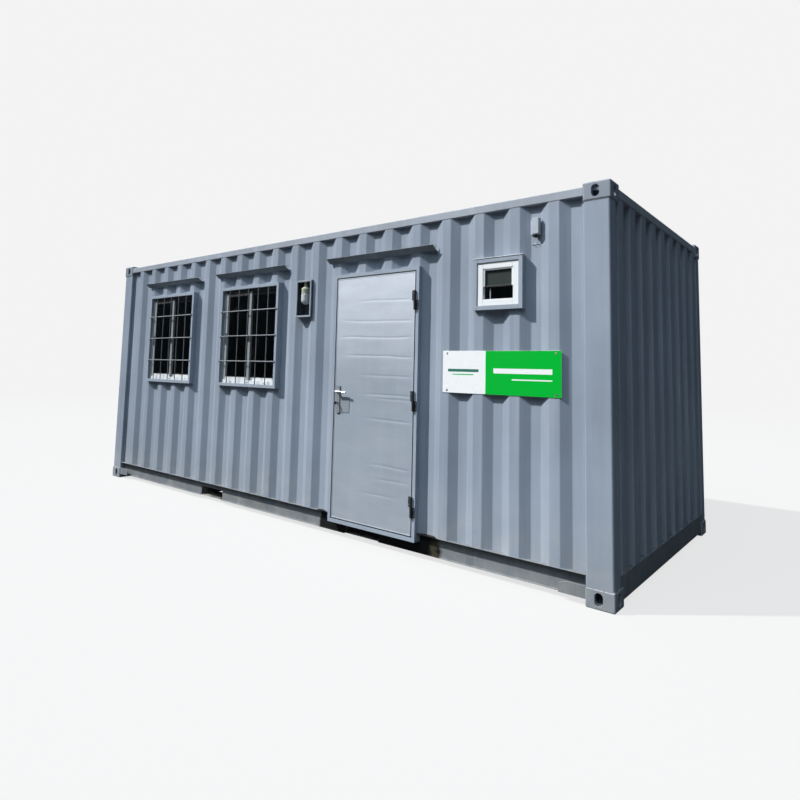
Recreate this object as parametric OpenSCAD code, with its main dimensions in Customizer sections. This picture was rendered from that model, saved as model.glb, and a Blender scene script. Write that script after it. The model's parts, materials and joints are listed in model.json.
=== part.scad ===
// Shipping container cabin: a 20 ft steel container fitted out as a site cabin.
// Origin: centre of the container's base on the ground. X runs along the length,
// the wall with the door faces -Y, and Z is up. All sizes are in millimetres.

/* [Container] */
// Overall length over the corner castings
length = 6058; // [5800:1:7400]
// Overall width over the corner castings
width = 2438; // [2100:1:2950]
// Overall height over the corner castings
height = 2591; // [2550:1:3200]

/* [Corners] */
// Corner casting, along the length
casting_l = 178; // [160:1:215]
// Corner casting, across the width
casting_w = 162; // [150:1:195]
// Corner casting, height
casting_h = 118; // [100:1:142]
// Thickness of the casting's walls
casting_t = 28; // [16:1:32]
// How far posts and rails sit inside the castings' faces
casting_proud = 6; // [2:0.5:10]
// Corner post, width of its face on the end wall
post_end_w = 113; // [90:1:140]
// Wall thickness of the posts
post_t = 6; // [4:0.5:8]
// Corner radius of the posts
post_r = 14; // [8:1:20]

/* [Rails] */
// Side of the square top rails
top_rail = 60; // [50:1:72]
// Wall thickness of the top rails
top_rail_t = 3; // [2:0.5:5]
// Distance from the top of the castings down to the top rails
top_rail_drop = 24; // [6:1:32]
// Lower edge of the bottom rails above the ground
rail_z = 38; // [24:1:44]
// Height of the bottom rails
rail_h = 147; // [122:1:165]
// Depth of the bottom rails' upper flange
rail_flange = 48; // [40:1:60]
// Thickness of the bottom rails
rail_t = 4.5; // [3:0.5:6]

/* [Corrugated walls] */
// Thickness of the wall sheet
sheet_t = 2; // [1.6:0.2:3]
// How far the ribs' faces sit inside the castings' faces
rib_inset = 8; // [6.5:0.5:14]
// Pitch of the ribs on the long walls
side_pitch = 278; // [230:1:335]
// Flat width of a rib on the long walls
side_rib = 72; // [50:1:95]
// Width of a sloping flank on the long walls
side_flank = 68; // [45:1:75]
// Depth of the corrugation on the long walls
side_depth = 36; // [30:1:42]
// Shift of the ribs along the length, from the middle
side_shift = 17; // [-20:1:20]
// Pitch of the ribs on the end walls
end_pitch = 250; // [208:1:300]
// Flat width of a rib on the end walls
end_rib = 110; // [90:1:125]
// Width of a sloping flank on the end walls
end_flank = 18; // [12:1:30]
// Depth of the corrugation on the end walls
end_depth = 45.6; // [35:0.1:50]
// Pitch of the ribs on the roof
roof_pitch = 209; // [174:1:251]
// Depth of the corrugation on the roof
roof_depth = 20; // [12:1:24]

/* [Fit-out] */
// Thickness of the insulated lining
lining_t = 60; // [45:1:75]
// Thickness of the floor boards
floor_t = 28; // [18:1:36]
// Top of the floor above the ground
floor_top = 172; // [143:1:180]

/* [Door] */
// Middle of the door along the length
door_x = 1153; // [1080:1:1180]
// Width of the door leaf
leaf_w = 822; // [720:1:990]
// Height of the door leaf
leaf_h = 1980; // [1650:1:1995]
// Thickness of the door leaf
leaf_t = 40; // [33:1:48]
// Lower edge of the leaf above the ground
leaf_z = 158; // [150:1:180]
// Gap round the leaf
leaf_gap = 7; // [6.5:0.5:9]
// Width of the door frame's face
jamb_w = 28; // [20:1:36]
// How far the door frame stands out from the ribs
jamb_proud = 27; // [20:1:40]
// How far the stop laps behind the leaf
stop_lap = 14; // [8:1:20]
// Length of one hinge
hinge_h = 150; // [110:1:180]
// Radius of the hinge barrels
hinge_r = 9; // [7.5:0.5:10]
// Radius of the hinge pins
pin_r = 5; // [4:0.5:5.5]
// Height of the lever above the ground
lever_z = 1188; // [990:1:1300]
// Length of the lever
lever_l = 112; // [95:1:135]

/* [Windows] */
// Width of a window casing
win_w = 900; // [750:1:1080]
// Height of a window casing
win_h = 995; // [829:1:1080]
// Lower edge of the windows above the ground
win_z = 1180; // [983:1:1200]
// Middle of the left window along the length
win1_x = -1880; // [-2000:1:-1780]
// Middle of the right window along the length
win2_x = -478; // [-600:1:-440]
// Width of the casings' face
casing_face = 30; // [24:1:40]
// How far the casings stand out from the ribs
casing_proud_y = 28; // [20:1:36]
// How far the window frame sits behind the casing's face
win_recess = 28; // [20:1:40]
// Width of the aluminium window frame's face
alu_face = 26; // [20:1:36]
// Diameter of the grille bars
bar_d = 10; // [8:1:12]
// Upright bars in each grille
bars_up = 5; // [3:1:7]
// Level bars in each grille
bars_level = 3; // [2:1:4]

/* [Small fittings] */
// Side of the square vent window's casing
vent_w = 379; // [315:1:440]
// Height of the vent window's casing
vent_h = 363; // [302:1:420]
// Middle of the vent window along the length
vent_x = 2261; // [2220:1:2300]
// Width of the vent window's plastic frame
vent_face = 44; // [36:1:54]
// Width of the lamp recess
lamp_w = 196; // [163:1:230]
// Height of the lamp recess
lamp_h = 332; // [276:1:380]
// Middle of the lamp recess along the length
lamp_x = 315; // [290:1:340]
// Depth of the lamp recess behind the ribs
lamp_depth = 84; // [70:1:100]
// Length of the sign board
sign_l = 900; // [750:1:1010]
// Height of the sign board
sign_h = 300; // [250:1:360]
// Thickness of the sign board
sign_t = 4; // [3:0.5:6]
// Height of the rain gutters over the openings
gutter_h = 36; // [30:1:44]
// How far the rain gutters stand out from the ribs
gutter_out = 48; // [38:1:60]

/* [Hidden] */

$fn = 48;
seat = 0.3;             // gap left between pieces that are seated, welded or glued
eps = 1;                // how far a cut runs past the face that it opens
paint = [0.56, 0.61, 0.67];
paint_dark = [0.30, 0.34, 0.39];
alu = [0.78, 0.80, 0.82];
white = [0.93, 0.94, 0.95];
glass = [0.10, 0.13, 0.15, 0.5];
board = [0.86, 0.85, 0.82];

// Planes of the container, from its outside inwards
half_l = length / 2;
half_w = width / 2;
post_x = half_l - casting_proud;
post_y = half_w - casting_proud;
bay_l = half_l - casting_l;                 // inner edge of the posts on the long walls
bay_w = post_y - post_end_w;                // inner edge of the posts on the end walls
rib_y = half_w - rib_inset;                 // face of the ribs on the long walls
trough_y = rib_y - side_depth;
rib_x = half_l - rib_inset - 2;             // face of the ribs on the end walls
trough_x = rib_x - end_depth;
wall_z = rail_z + rail_h;                   // underside of the corrugated walls
rail_top = height - top_rail_drop;          // top of the top rails
wall_top = rail_top - top_rail;
web_y = post_y - rail_flange;               // outer face of the bottom rails' web
floor_y = web_y - rail_t - seat;            // edge of the floor along the bottom rails
sill_d = post_x - (trough_x - sheet_t);     // depth of the end sills
floor_x = post_x - sill_d - seat;           // edge of the floor along the end sills
room_y = floor_y - lining_t;                // inner face of the lining on the long walls
room_x = floor_x - lining_t;
floor_low = floor_top - floor_t;
roof_z = rail_top - 2;                      // top of the roof's ribs
roof_y = post_y - top_rail - seat;
roof_x = post_x - top_rail - seat;
ceiling_t = 50;
ceiling_top = roof_z - roof_depth - sheet_t - seat;
ceiling_z = ceiling_top - ceiling_t;

// Ribs that fit between the posts with a flat margin at both ends
side_room = 2 * bay_l - 2 * abs(side_shift) - side_rib - 2 * side_flank;
side_ribs = floor((side_room - 30) / side_pitch) + 1;
end_ribs = floor((2 * bay_w - end_rib - 2 * end_flank - 10) / end_pitch) + 1;
roof_rib = 91;
roof_flank = 13.5;
roof_ribs = floor((2 * roof_x - roof_rib - 2 * roof_flank - 10) / roof_pitch) + 1;

// Forklift pockets, at the standard spacing of a 20 ft container
pocket_gap = 2050;
pocket_w = 360;
pocket_t = 6;
pocket_cut = 130;                           // top of the openings in the bottom rails
strap_l = 200;

// Cross members
member_h = 104;
member_w = 45;
member_t = 4;
outer_members = 5;
inner_members = 5;

// Door opening
jamb_y = rib_y + jamb_proud;                // face of the door frame
leaf_y = jamb_y - 2;                        // face of the leaf
stop_y = leaf_y - leaf_t - leaf_gap;        // face of the stop behind the leaf
clear_w = leaf_w / 2 + leaf_gap;            // half of the width between the jambs
frame_w = clear_w + jamb_w;
stop_w = leaf_w / 2 - stop_lap;
door_low = leaf_z - leaf_gap;               // top of the threshold
door_high = leaf_z + leaf_h + leaf_gap;
frame_low = door_low - jamb_w;
frame_high = door_high + jamb_w;
stop_low = leaf_z + stop_lap;
stop_high = leaf_z + leaf_h - stop_lap;

// Door hinges: a lower knuckle with a pin on the frame, an upper one on the leaf
hinge_x = door_x + leaf_w / 2 + leaf_gap / 2;
hinge_y = leaf_y + hinge_r + 3;
hinge_from_end = 214;                       // from the ends of the leaf to the outer hinges' middles
hinge_zs = [leaf_z + hinge_from_end, leaf_z + leaf_h / 2, leaf_z + leaf_h - hinge_from_end - 11];
pin_gap = 0.05;
knuckle_gap = 1;
hinge_wing = 30;
wing_t = 2.5;

// Lever, lock plates and spindle
lever_x = door_x - leaf_w / 2 + 46;
spindle_r = 8;
spindle_gap = 0.05;
plate_w = 40;
plate_h = 225;
plate_t = 8;
plate_z = lever_z - 62;                     // middle of the lock plates
lever_r = 9;
lever_out = 40;                             // from the leaf's face to the grip's centre line
cylinder_z = lever_z - 92;

// Rain gutters over the windows and the door
gutter_t = 3;
gutter_win_rise = 113;                      // from the top of a casing to the gutter over it
gutter_door_rise = 112;
gutter_door_shift = 19;                     // from the middle of the door to the middle of its gutter
gutter_win_z = win_z + win_h + gutter_win_rise;
gutter_door_z = frame_high + gutter_door_rise;
gutter_win_l = win_w + 186;
gutter_door_l = leaf_w + 2 * leaf_gap + 2 * jamb_w + 228;

// Vent window
vent_z = 1990;
vent_transom_z = 1976;

// Lamp recess
lamp_z = 1998;
lamp_face = 14;
lamp_t = 4;
lamp_lip = 12;
jar_r = 41;
jar_h = 100;
jar_t = 3;
neck_h = 60;
ring_h = 52;
lamp_lap = 10;                              // how far the ring laps over the neck

// Sign board and socket box
sign_x = 2261;
sign_z = 1376;
socket_shift = 26;                          // from the middle of the trough that it hangs in
socket_x = (side_ribs / 2 - 1) * side_pitch + side_shift + socket_shift;
socket_w = 60;
socket_h = 112;
socket_d = 38;
socket_z = 2302;

// x and y of the ribs of a corrugated sheet: rib faces at y = 0, troughs at -depth
function ribs(n, pitch, rib, flank, depth, shift) = [
    for (i = [0 : n - 1], p = [[-rib / 2 - flank, -depth], [-rib / 2, 0],
                               [rib / 2, 0], [rib / 2 + flank, -depth]])
        [(i - (n - 1) / 2) * pitch + p[0] + shift, p[1]]
];

// Section of a corrugated sheet from x = -half to x = half
module corrugated(half, n, pitch, rib, flank, depth, shift) {
    face = concat([[-half, -depth]], ribs(n, pitch, rib, flank, depth, shift), [[half, -depth]]);
    back = [for (i = [len(face) - 1 : -1 : 0]) [face[i][0], face[i][1] - sheet_t]];
    polygon(concat(face, back));
}

// A box from one corner to the opposite one
module block(a, b) { translate(a) cube(b - a); }

// A box in the front wall: y0 and y1 are distances from the middle towards the front
module front_block(x0, x1, y0, y1, z0, z1) { block([x0, -y1, z0], [x1, -y0, z1]); }

// A slab from z0 to z1 with its four corners cut out: x0 by y0 and x1 by y1 are half sizes
module cross_slab(x0, y0, x1, y1, z0, z1) {
    block([-x0, -y0, z0], [x0, y0, z1]);
    block([-x1, -y1, z0], [x1, y1, z1]);
}

// A rectangle with round corners
module round_rect(w, h, r) {
    square([w - 2 * r, h], center = true);
    square([w, h - 2 * r], center = true);
    for (x = [-1, 1], y = [-1, 1]) translate([x * (w / 2 - r), y * (h / 2 - r)]) circle(r);
}

// A square tube along +Z, centred on the axis
module tube(l) {
    linear_extrude(l) difference() {
        round_rect(top_rail, top_rail, 6);
        round_rect(top_rail - 2 * top_rail_t, top_rail - 2 * top_rail_t, 6 - top_rail_t);
    }
}

// Four bars that make a rectangle round an opening in the front wall, butted at the corners
module front_ring(x0, x1, z0, z1, face, y0, y1) {
    for (x = [x0, x1 - face]) front_block(x, x + face, y0, y1, z0, z1);
    for (z = [z0, z1 - face]) front_block(x0 + face + seat, x1 - face - seat, y0, y1, z, z + face);
}

// One copy for each corner, or for each side or end
module corners() { for (x = [0, 1], y = [0, 1]) mirror([x, 0, 0]) mirror([0, y, 0]) children(); }
module both_sides() { for (y = [0, 1]) mirror([0, y, 0]) children(); }
module both_ends() { for (x = [0, 1]) mirror([x, 0, 0]) children(); }

// A hole with round ends, upright, cut along +Z
module oval(l, w, t) {
    linear_extrude(t) {
        square([w, l - w], center = true);
        for (y = [-1, 1]) translate([0, y * (l - w) / 2]) circle(d = w);
    }
}

// One corner casting in the +X +Y corner, standing on its flat side
module casting() {
    hole_t = casting_t + 2 * eps;
    translate([half_l - casting_l, half_w - casting_w, 0]) difference() {
        cube([casting_l, casting_w, casting_h]);
        block([1, 1, 1] * casting_t, [casting_l, casting_w, casting_h] - [1, 1, 1] * casting_t);
        translate([casting_l / 2, casting_w / 2, -eps]) rotate([0, 0, 90]) oval(100, 63, hole_t);
        translate([casting_l / 2 - 8, casting_w + eps, casting_h / 2])
            rotate([90, 0, 0]) oval(79, 51, hole_t);
        translate([casting_l - casting_t - eps, casting_w / 2, casting_h / 2])
            rotate([90, 0, 90]) oval(79, 51, hole_t);
    }
}

module bottom_castings() { color(paint) corners() casting(); }

module top_castings() {
    color(paint) translate([0, 0, height]) mirror([0, 0, 1]) corners() casting();
}

module corner_posts() {
    post_w = casting_l - casting_proud;
    color(paint) corners() translate([bay_l + post_w / 2, bay_w + post_end_w / 2, casting_h])
        linear_extrude(height - 2 * casting_h) difference() {
            round_rect(post_w, post_end_w, post_r);
            round_rect(post_w - 2 * post_t, post_end_w - 2 * post_t, post_r - post_t);
        }
}

module top_side_rails() {
    color(paint) both_sides()
        translate([-bay_l, post_y - top_rail / 2, rail_top - top_rail / 2])
            rotate([90, 0, 90]) tube(2 * bay_l);
}

module end_headers() {
    inner = half_w - casting_w;
    color(paint) both_ends()
        translate([post_x - top_rail / 2, inner, rail_top - top_rail / 2])
            rotate([90, 0, 0]) tube(2 * inner);
}

// The bottom side rail on the +Y side: a channel that opens outwards
module bottom_rail() {
    difference() {
        translate([-bay_l, 0, rail_z]) rotate([90, 0, 90]) linear_extrude(2 * bay_l) {
            translate([web_y - rail_t, 0]) square([rail_t, rail_h]);
            translate([web_y - rail_t, rail_h - rail_t]) square([rail_flange + rail_t, rail_t]);
            translate([web_y - rail_t, 0]) square([rail_flange * 0.4, rail_t]);
        }
        for (x = [-1, 1])
            block([x * pocket_gap / 2 - pocket_w / 2, web_y - rail_t - eps, rail_z - eps],
                  [x * pocket_gap / 2 + pocket_w / 2, post_y + eps, pocket_cut]);
    }
}

module bottom_rail_back() { color(paint) bottom_rail(); }

// The front rail is notched for the threshold
module bottom_rail_front() {
    color(paint) difference() {
        mirror([0, 1, 0]) bottom_rail();
        front_block(door_x - frame_w - seat, door_x + frame_w + seat,
                    floor_y - eps, half_w + eps, frame_low - seat, wall_z + eps);
    }
}

// The room that the castings need at the +X end, at the bottom (z = 0) or at the top
module casting_notches(z) {
    both_sides() block([bay_l - seat, half_w - casting_w - seat, z - seat],
                       [half_l + eps, half_w + eps, z + casting_h + seat]);
}

// The end sills run to the posts over the castings
module end_sills() {
    inner = bay_w - seat;
    color(paint) both_ends() difference() {
        translate([post_x - sill_d, inner, rail_z]) rotate([90, 0, 0]) linear_extrude(2 * inner)
            difference() {
                square([sill_d, rail_h]);
                translate([rail_t, rail_t]) square([sill_d - 2 * rail_t, rail_h - 2 * rail_t]);
            }
        casting_notches(0);
    }
}

// Plates that join the bottom rails to the castings
module rail_gussets() {
    plate_l = 170;
    plate_t = 8;
    plate_h = casting_h - rail_z;
    color(paint) corners() translate([bay_l - plate_l - seat, post_y, rail_z])
        rotate([90, 0, 0]) linear_extrude(plate_t)
            polygon([[0, rail_t + seat], [plate_l, rail_t + seat], [plate_l, plate_h],
                     [plate_l * 0.3, plate_h], [0, plate_h * 0.75]]);
}

// Tunnels through the base for a forklift's tines
module forklift_pockets() {
    color(paint_dark) for (s = [-1, 1]) translate([s * pocket_gap / 2, 0, 0]) {
        for (x = [-pocket_w / 2 - pocket_t, pocket_w / 2])
            block([x, -floor_y, rail_z], [x + pocket_t, floor_y, floor_low - seat]);
        block([-pocket_w / 2 + seat, -floor_y, floor_low - seat - pocket_t],
              [pocket_w / 2 - seat, floor_y, floor_low - seat]);
        both_sides() block([-pocket_w / 2 + seat, floor_y - strap_l, rail_z],
                           [pocket_w / 2 - seat, floor_y, rail_z + pocket_t]);
    }
}

module cross_members() {
    outer_from = pocket_gap / 2 + pocket_w / 2 + pocket_t;
    outer_step = (floor_x - outer_from) / (outer_members + 1);
    inner_half = pocket_gap / 2 - pocket_w / 2 - pocket_t;
    inner_step = 2 * inner_half / (inner_members + 1);
    xs = concat([for (i = [1 : outer_members]) outer_from + i * outer_step],
                [for (i = [1 : outer_members]) -outer_from - i * outer_step],
                [for (i = [1 : inner_members]) -inner_half + i * inner_step]);
    color(paint_dark) for (x = xs)
        translate([x - member_w / 2, floor_y, floor_low - seat - member_h])
            rotate([90, 0, 0]) linear_extrude(2 * floor_y) difference() {
                square([member_w, member_h]);
                translate([member_t, member_t])
                    square([member_w, member_h - 2 * member_t]);
            }
}

module floor_boards() {
    color([0.55, 0.42, 0.28])
        cross_slab(bay_l - seat, floor_y, floor_x, bay_w - seat, floor_low, floor_top);
}

// Part of the corrugated front wall, from x0 to x1 and from z0 to z1
module front_sheet(x0, x1, z0, z1) {
    translate([0, 0, z0]) linear_extrude(z1 - z0) intersection() {
        mirror([0, 1]) translate([0, rib_y])
            corrugated(bay_l - seat, side_ribs, side_pitch, side_rib, side_flank, side_depth, side_shift);
        translate([x0, -half_w]) square([x1 - x0, half_w]);
    }
}

// The sheet above and below an opening from x0 to x1 and z0 to z1
module front_sheet_round(x0, x1, z0, z1) {
    front_sheet(x0 + seat, x1 - seat, wall_z + seat, z0 - seat);
    front_sheet(x0 + seat, x1 - seat, z1 + seat, wall_top - seat);
}

module front_sheet_full(x0, x1) { front_sheet(x0 + seat, x1 - seat, wall_z + seat, wall_top - seat); }

module front_wall_left() {
    color(paint) {
        front_sheet_full(-bay_l, win1_x - win_w / 2);
        front_sheet_round(win1_x - win_w / 2, win1_x + win_w / 2, win_z, win_z + win_h);
        front_sheet_full(win1_x + win_w / 2, win2_x - win_w / 2);
        front_sheet_round(win2_x - win_w / 2, win2_x + win_w / 2, win_z, win_z + win_h);
    }
}

module front_wall_lamp_bay() {
    color(paint) {
        front_sheet_full(win2_x + win_w / 2, lamp_x - lamp_w / 2);
        front_sheet_round(lamp_x - lamp_w / 2, lamp_x + lamp_w / 2,
                          lamp_z - lamp_h / 2, lamp_z + lamp_h / 2);
        front_sheet_full(lamp_x + lamp_w / 2, door_x - frame_w);
    }
}

module front_wall_over_door() {
    color(paint) front_sheet(door_x - frame_w + seat, door_x + frame_w - seat,
                             frame_high + seat, wall_top - seat);
}

module front_wall_right() {
    color(paint) {
        front_sheet_full(door_x + frame_w, vent_x - vent_w / 2);
        front_sheet_round(vent_x - vent_w / 2, vent_x + vent_w / 2,
                          vent_z - vent_h / 2, vent_z + vent_h / 2);
        front_sheet_full(vent_x + vent_w / 2, bay_l);
    }
}

module back_wall() {
    color(paint) translate([0, rib_y, wall_z + seat]) linear_extrude(wall_top - wall_z - 2 * seat)
        corrugated(bay_l - seat, side_ribs, side_pitch, side_rib, side_flank, side_depth, side_shift);
}

module end_wall() {
    difference() {
        translate([rib_x, 0, wall_z + seat]) linear_extrude(wall_top - wall_z - 2 * seat)
            rotate(-90)
                corrugated(bay_w - seat, end_ribs, end_pitch, end_rib, end_flank, end_depth, 0);
        casting_notches(height - casting_h);
    }
}

module right_end_wall() { color(paint) end_wall(); }
module left_end_wall() { color(paint) mirror([1, 0, 0]) end_wall(); }

module roof_panel() {
    color(paint) difference() {
        translate([0, roof_y, roof_z]) rotate([90, 0, 0]) linear_extrude(2 * roof_y)
            corrugated(roof_x, roof_ribs, roof_pitch, roof_rib, roof_flank, roof_depth, 0);
        both_ends() casting_notches(height - casting_h);
    }
}

// One board of the front lining, from x0 to x1 and from z0 to z1
module front_board(x0, x1, z0, z1) {
    front_block(x0 + seat, x1 - seat, room_y, floor_y, z0 + seat, z1 - seat);
}

module front_board_round(x0, x1, z0, z1) {
    front_board(x0, x1, floor_top, z0);
    front_board(x0, x1, z1, ceiling_z);
}

module front_lining() {
    w = win_w / 2;
    color(board) {
        front_board(-bay_l, win1_x - w, floor_top, ceiling_z);
        front_board_round(win1_x - w, win1_x + w, win_z, win_z + win_h);
        front_board(win1_x + w, win2_x - w, floor_top, ceiling_z);
        front_board_round(win2_x - w, win2_x + w, win_z, win_z + win_h);
        difference() {
            front_board(win2_x + w, door_x - frame_w, floor_top, ceiling_z);
            front_block(lamp_x - lamp_w / 2, lamp_x + lamp_w / 2,
                        rib_y - lamp_depth - lamp_t - seat, half_w,
                        lamp_z - lamp_h / 2, lamp_z + lamp_h / 2);
        }
        front_board(door_x - frame_w, door_x + frame_w, frame_high, ceiling_z);
        front_board(door_x + frame_w, vent_x - vent_w / 2, floor_top, ceiling_z);
        front_board_round(vent_x - vent_w / 2, vent_x + vent_w / 2,
                          vent_z - vent_h / 2, vent_z + vent_h / 2);
        front_board(vent_x + vent_w / 2, bay_l, floor_top, ceiling_z);
    }
}

module back_lining() {
    color(board) block([-bay_l + seat, room_y, floor_top + seat],
                       [bay_l - seat, floor_y, ceiling_z - seat]);
}

module end_linings() {
    wide = min(bay_w, room_y) - seat;
    color(board) both_ends() difference() {
        block([room_x, -wide, floor_top + seat], [floor_x, wide, ceiling_z - seat]);
        casting_notches(height - casting_h);
    }
}

module ceiling() {
    color(white) cross_slab(bay_l - seat, roof_y, roof_x, half_w - casting_w - seat,
                            ceiling_z, ceiling_top);
}

module both_windows() { for (x = [win1_x, win2_x]) translate([x, 0, win_z]) children(); }

module window_casings() {
    color(paint) both_windows()
        front_ring(-win_w / 2, win_w / 2, 0, win_h, casing_face, room_y, rib_y + casing_proud_y);
}

// The fixed aluminium frame stands behind the casing's face
alu_d = 44;
alu_front = rib_y + casing_proud_y - win_recess;
alu_gap = casing_face + seat;
module window_frames() {
    color(alu) both_windows()
        front_ring(-win_w / 2 + alu_gap, win_w / 2 - alu_gap, alu_gap, win_h - alu_gap,
                   alu_face, alu_front - alu_d, alu_front);
}

// Two sliding sashes that overlap in the middle, the left one in front
sash_face = 34;
sash_t = 18;
sash_lap = 36;
sash_in = alu_gap + alu_face + seat;
sash_w = win_w / 2 - sash_in + sash_lap / 2;
sash_fronts = [alu_front - 3, alu_front - 3 - sash_t - 2];
sash_xs = [-win_w / 2 + sash_in, win_w / 2 - sash_in - sash_w];

module window_sashes() {
    color(alu) both_windows() for (i = [0, 1])
        front_ring(sash_xs[i], sash_xs[i] + sash_w, sash_in, win_h - sash_in,
                   sash_face, sash_fronts[i] - sash_t, sash_fronts[i]);
}

module window_glass() {
    glass_t = 5;
    inset = sash_face + seat;
    color(glass) both_windows() for (i = [0, 1])
        front_block(sash_xs[i] + inset, sash_xs[i] + sash_w - inset,
                    sash_fronts[i] - sash_t / 2 - glass_t / 2, sash_fronts[i] - sash_t / 2 + glass_t / 2,
                    sash_in + inset, win_h - sash_in - inset);
}

// Upright bars between the casing's rails, and level bars welded across them and the stiles
module window_grilles() {
    lap = casing_face * 0.6;
    level_l = win_w - 2 * casing_face + 2 * lap;
    face_y = rib_y + casing_proud_y;
    color(paint) both_windows() {
        for (i = [1 : bars_up])
            translate([-win_w / 2 + i * win_w / (bars_up + 1), -face_y + bar_d / 2, alu_gap])
                cylinder(h = win_h - 2 * alu_gap, d = bar_d);
        for (i = [1 : bars_level])
            translate([-level_l / 2, -face_y - bar_d / 2 - seat, i * win_h / (bars_level + 1)])
                rotate([0, 90, 0]) cylinder(h = level_l, d = bar_d);
    }
}

// A folded strip that leans outwards from the ribs and leads rain past an opening
module gutter(x, z, l) {
    back_h = gutter_h + 8;
    translate([x - l / 2, -rib_y - seat, z]) rotate([90, 0, 90]) linear_extrude(l)
        polygon([[0, 0], [-gutter_out, gutter_h], [-gutter_out + gutter_t * 0.6, gutter_h + gutter_t * 0.8],
                 [-gutter_t, gutter_t * 1.8], [-gutter_t, back_h], [0, back_h]]);
}

module rain_gutters() {
    color(paint_dark) {
        for (x = [win1_x, win2_x]) gutter(x, gutter_win_z, gutter_win_l);
        gutter(door_x + gutter_door_shift, gutter_door_z, gutter_door_l);
    }
}

module vent_casing() {
    color(paint) front_ring(vent_x - vent_w / 2, vent_x + vent_w / 2, vent_z - vent_h / 2,
                            vent_z + vent_h / 2, casing_face, room_y, rib_y + casing_proud_y);
}

vent_front = rib_y + casing_proud_y - 8;
vent_d = 48;
vent_x0 = vent_x - vent_w / 2 + alu_gap;
vent_x1 = vent_x + vent_w / 2 - alu_gap;
vent_z0 = vent_z - vent_h / 2 + alu_gap;
vent_z1 = vent_z + vent_h / 2 - alu_gap;
transom_h = 12;

// The white frame, with a transom between its two panes
module vent_frame() {
    color(white) {
        front_ring(vent_x0, vent_x1, vent_z0, vent_z1, vent_face, vent_front - vent_d, vent_front);
        front_block(vent_x0 + vent_face + seat, vent_x1 - vent_face - seat,
                    vent_front - vent_d, vent_front - 12,
                    vent_transom_z - transom_h / 2, vent_transom_z + transom_h / 2);
    }
}

module vent_glass() {
    glass_t = 5;
    x0 = vent_x0 + vent_face + seat;
    x1 = vent_x1 - vent_face - seat;
    color(glass) {
        front_block(x0, x1, vent_front - 26, vent_front - 26 + glass_t,
                    vent_transom_z + transom_h / 2 + seat, vent_z1 - vent_face - seat);
        front_block(x0, x1, vent_front - 40, vent_front - 40 + glass_t,
                    vent_z0 + vent_face + seat, vent_transom_z - transom_h / 2 - seat);
    }
}

// A steel box let into the wall, with a frame round its mouth
module lamp_recess() {
    x0 = lamp_x - lamp_w / 2 + seat;
    x1 = lamp_x + lamp_w / 2 - seat;
    z0 = lamp_z - lamp_h / 2 + seat;
    z1 = lamp_z + lamp_h / 2 - seat;
    back = rib_y - lamp_depth;
    mouth = rib_y + casing_proud_y;
    color(paint) {
        front_ring(x0, x1, z0, z1, lamp_face, mouth - lamp_lip, mouth);
        front_ring(x0, x1, z0, z1, lamp_t, back + seat, mouth - lamp_lip - seat);
        front_block(x0, x1, back - lamp_t, back, z0, z1);
    }
}

lamp_y = rib_y - 22;
lamp_axis_x = lamp_x - 20;
lamp_top = lamp_z + lamp_h / 2 - lamp_face;

// The lamp hangs from the top of its recess: a neck and a threaded ring
module lamp_base() {
    ring_r = 40;
    neck_r = 20;
    color([0.80, 0.82, 0.72]) translate([lamp_axis_x, -lamp_y, 0]) {
        translate([0, 0, lamp_top - neck_h]) cylinder(h = neck_h + lamp_lap - 1, r = neck_r);
        translate([0, 0, lamp_top - neck_h - ring_h + lamp_lap]) cylinder(h = ring_h, r = ring_r);
    }
}

module lamp_jar() {
    top = lamp_top - neck_h - ring_h + lamp_lap - seat;
    color([0.9, 0.93, 0.93, 0.4]) translate([lamp_axis_x, -lamp_y, top - jar_h])
        rotate_extrude() intersection() {
            difference() {
                union() {
                    translate([0, jar_r]) circle(jar_r);
                    translate([-jar_r, jar_r]) square([2 * jar_r, jar_h - jar_r]);
                }
                translate([0, jar_r]) circle(jar_r - jar_t);
                translate([jar_t - jar_r, jar_r]) square([2 * (jar_r - jar_t), jar_h]);
            }
            square([jar_r + 1, jar_h]);
        }
}

module sign_board() {
    color([0.02, 0.62, 0.24])
        front_block(sign_x - sign_l / 2, sign_x + sign_l / 2, rib_y + seat, rib_y + seat + sign_t,
                    sign_z - sign_h / 2, sign_z + sign_h / 2);
}

// A small electrical box on a spacer in the last trough, with a cable clip under it
module socket_box() {
    clip_w = 30;
    spacer_w = 36;
    spacer_t = 14;
    trough_x0 = socket_x - socket_shift;
    color([0.62, 0.66, 0.70]) translate([0, -trough_y - seat, 0]) {
        block([socket_x - socket_w / 2, -spacer_t - socket_d, socket_z],
              [socket_x + socket_w / 2, -spacer_t, socket_z + socket_h]);
        block([trough_x0 - spacer_w / 2, -spacer_t, socket_z + 6],
              [trough_x0 + spacer_w / 2, 0, socket_z + socket_h - 6]);
        block([trough_x0 - clip_w / 2, -20, socket_z - 62], [trough_x0 + clip_w / 2, 0, socket_z - 52]);
    }
}

// Two jambs, a head and a threshold, with the stop that the leaf closes against
module door_frame() {
    color(paint) translate([door_x, 0, 0]) {
        both_ends() difference() {
            union() {
                front_block(clear_w, frame_w - seat, stop_y - eps, jamb_y, frame_low, frame_high - seat);
                front_block(stop_w, frame_w - seat, room_y, stop_y, frame_low, frame_high - seat);
            }
            front_block(0, frame_w + eps, 0, floor_y + seat, frame_low - eps, floor_top + seat);
        }
        frame_rail(door_high, frame_high - seat, stop_high, door_high, room_y);
        frame_rail(frame_low, door_low, door_low, stop_low, floor_y + seat);
    }
}

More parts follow.
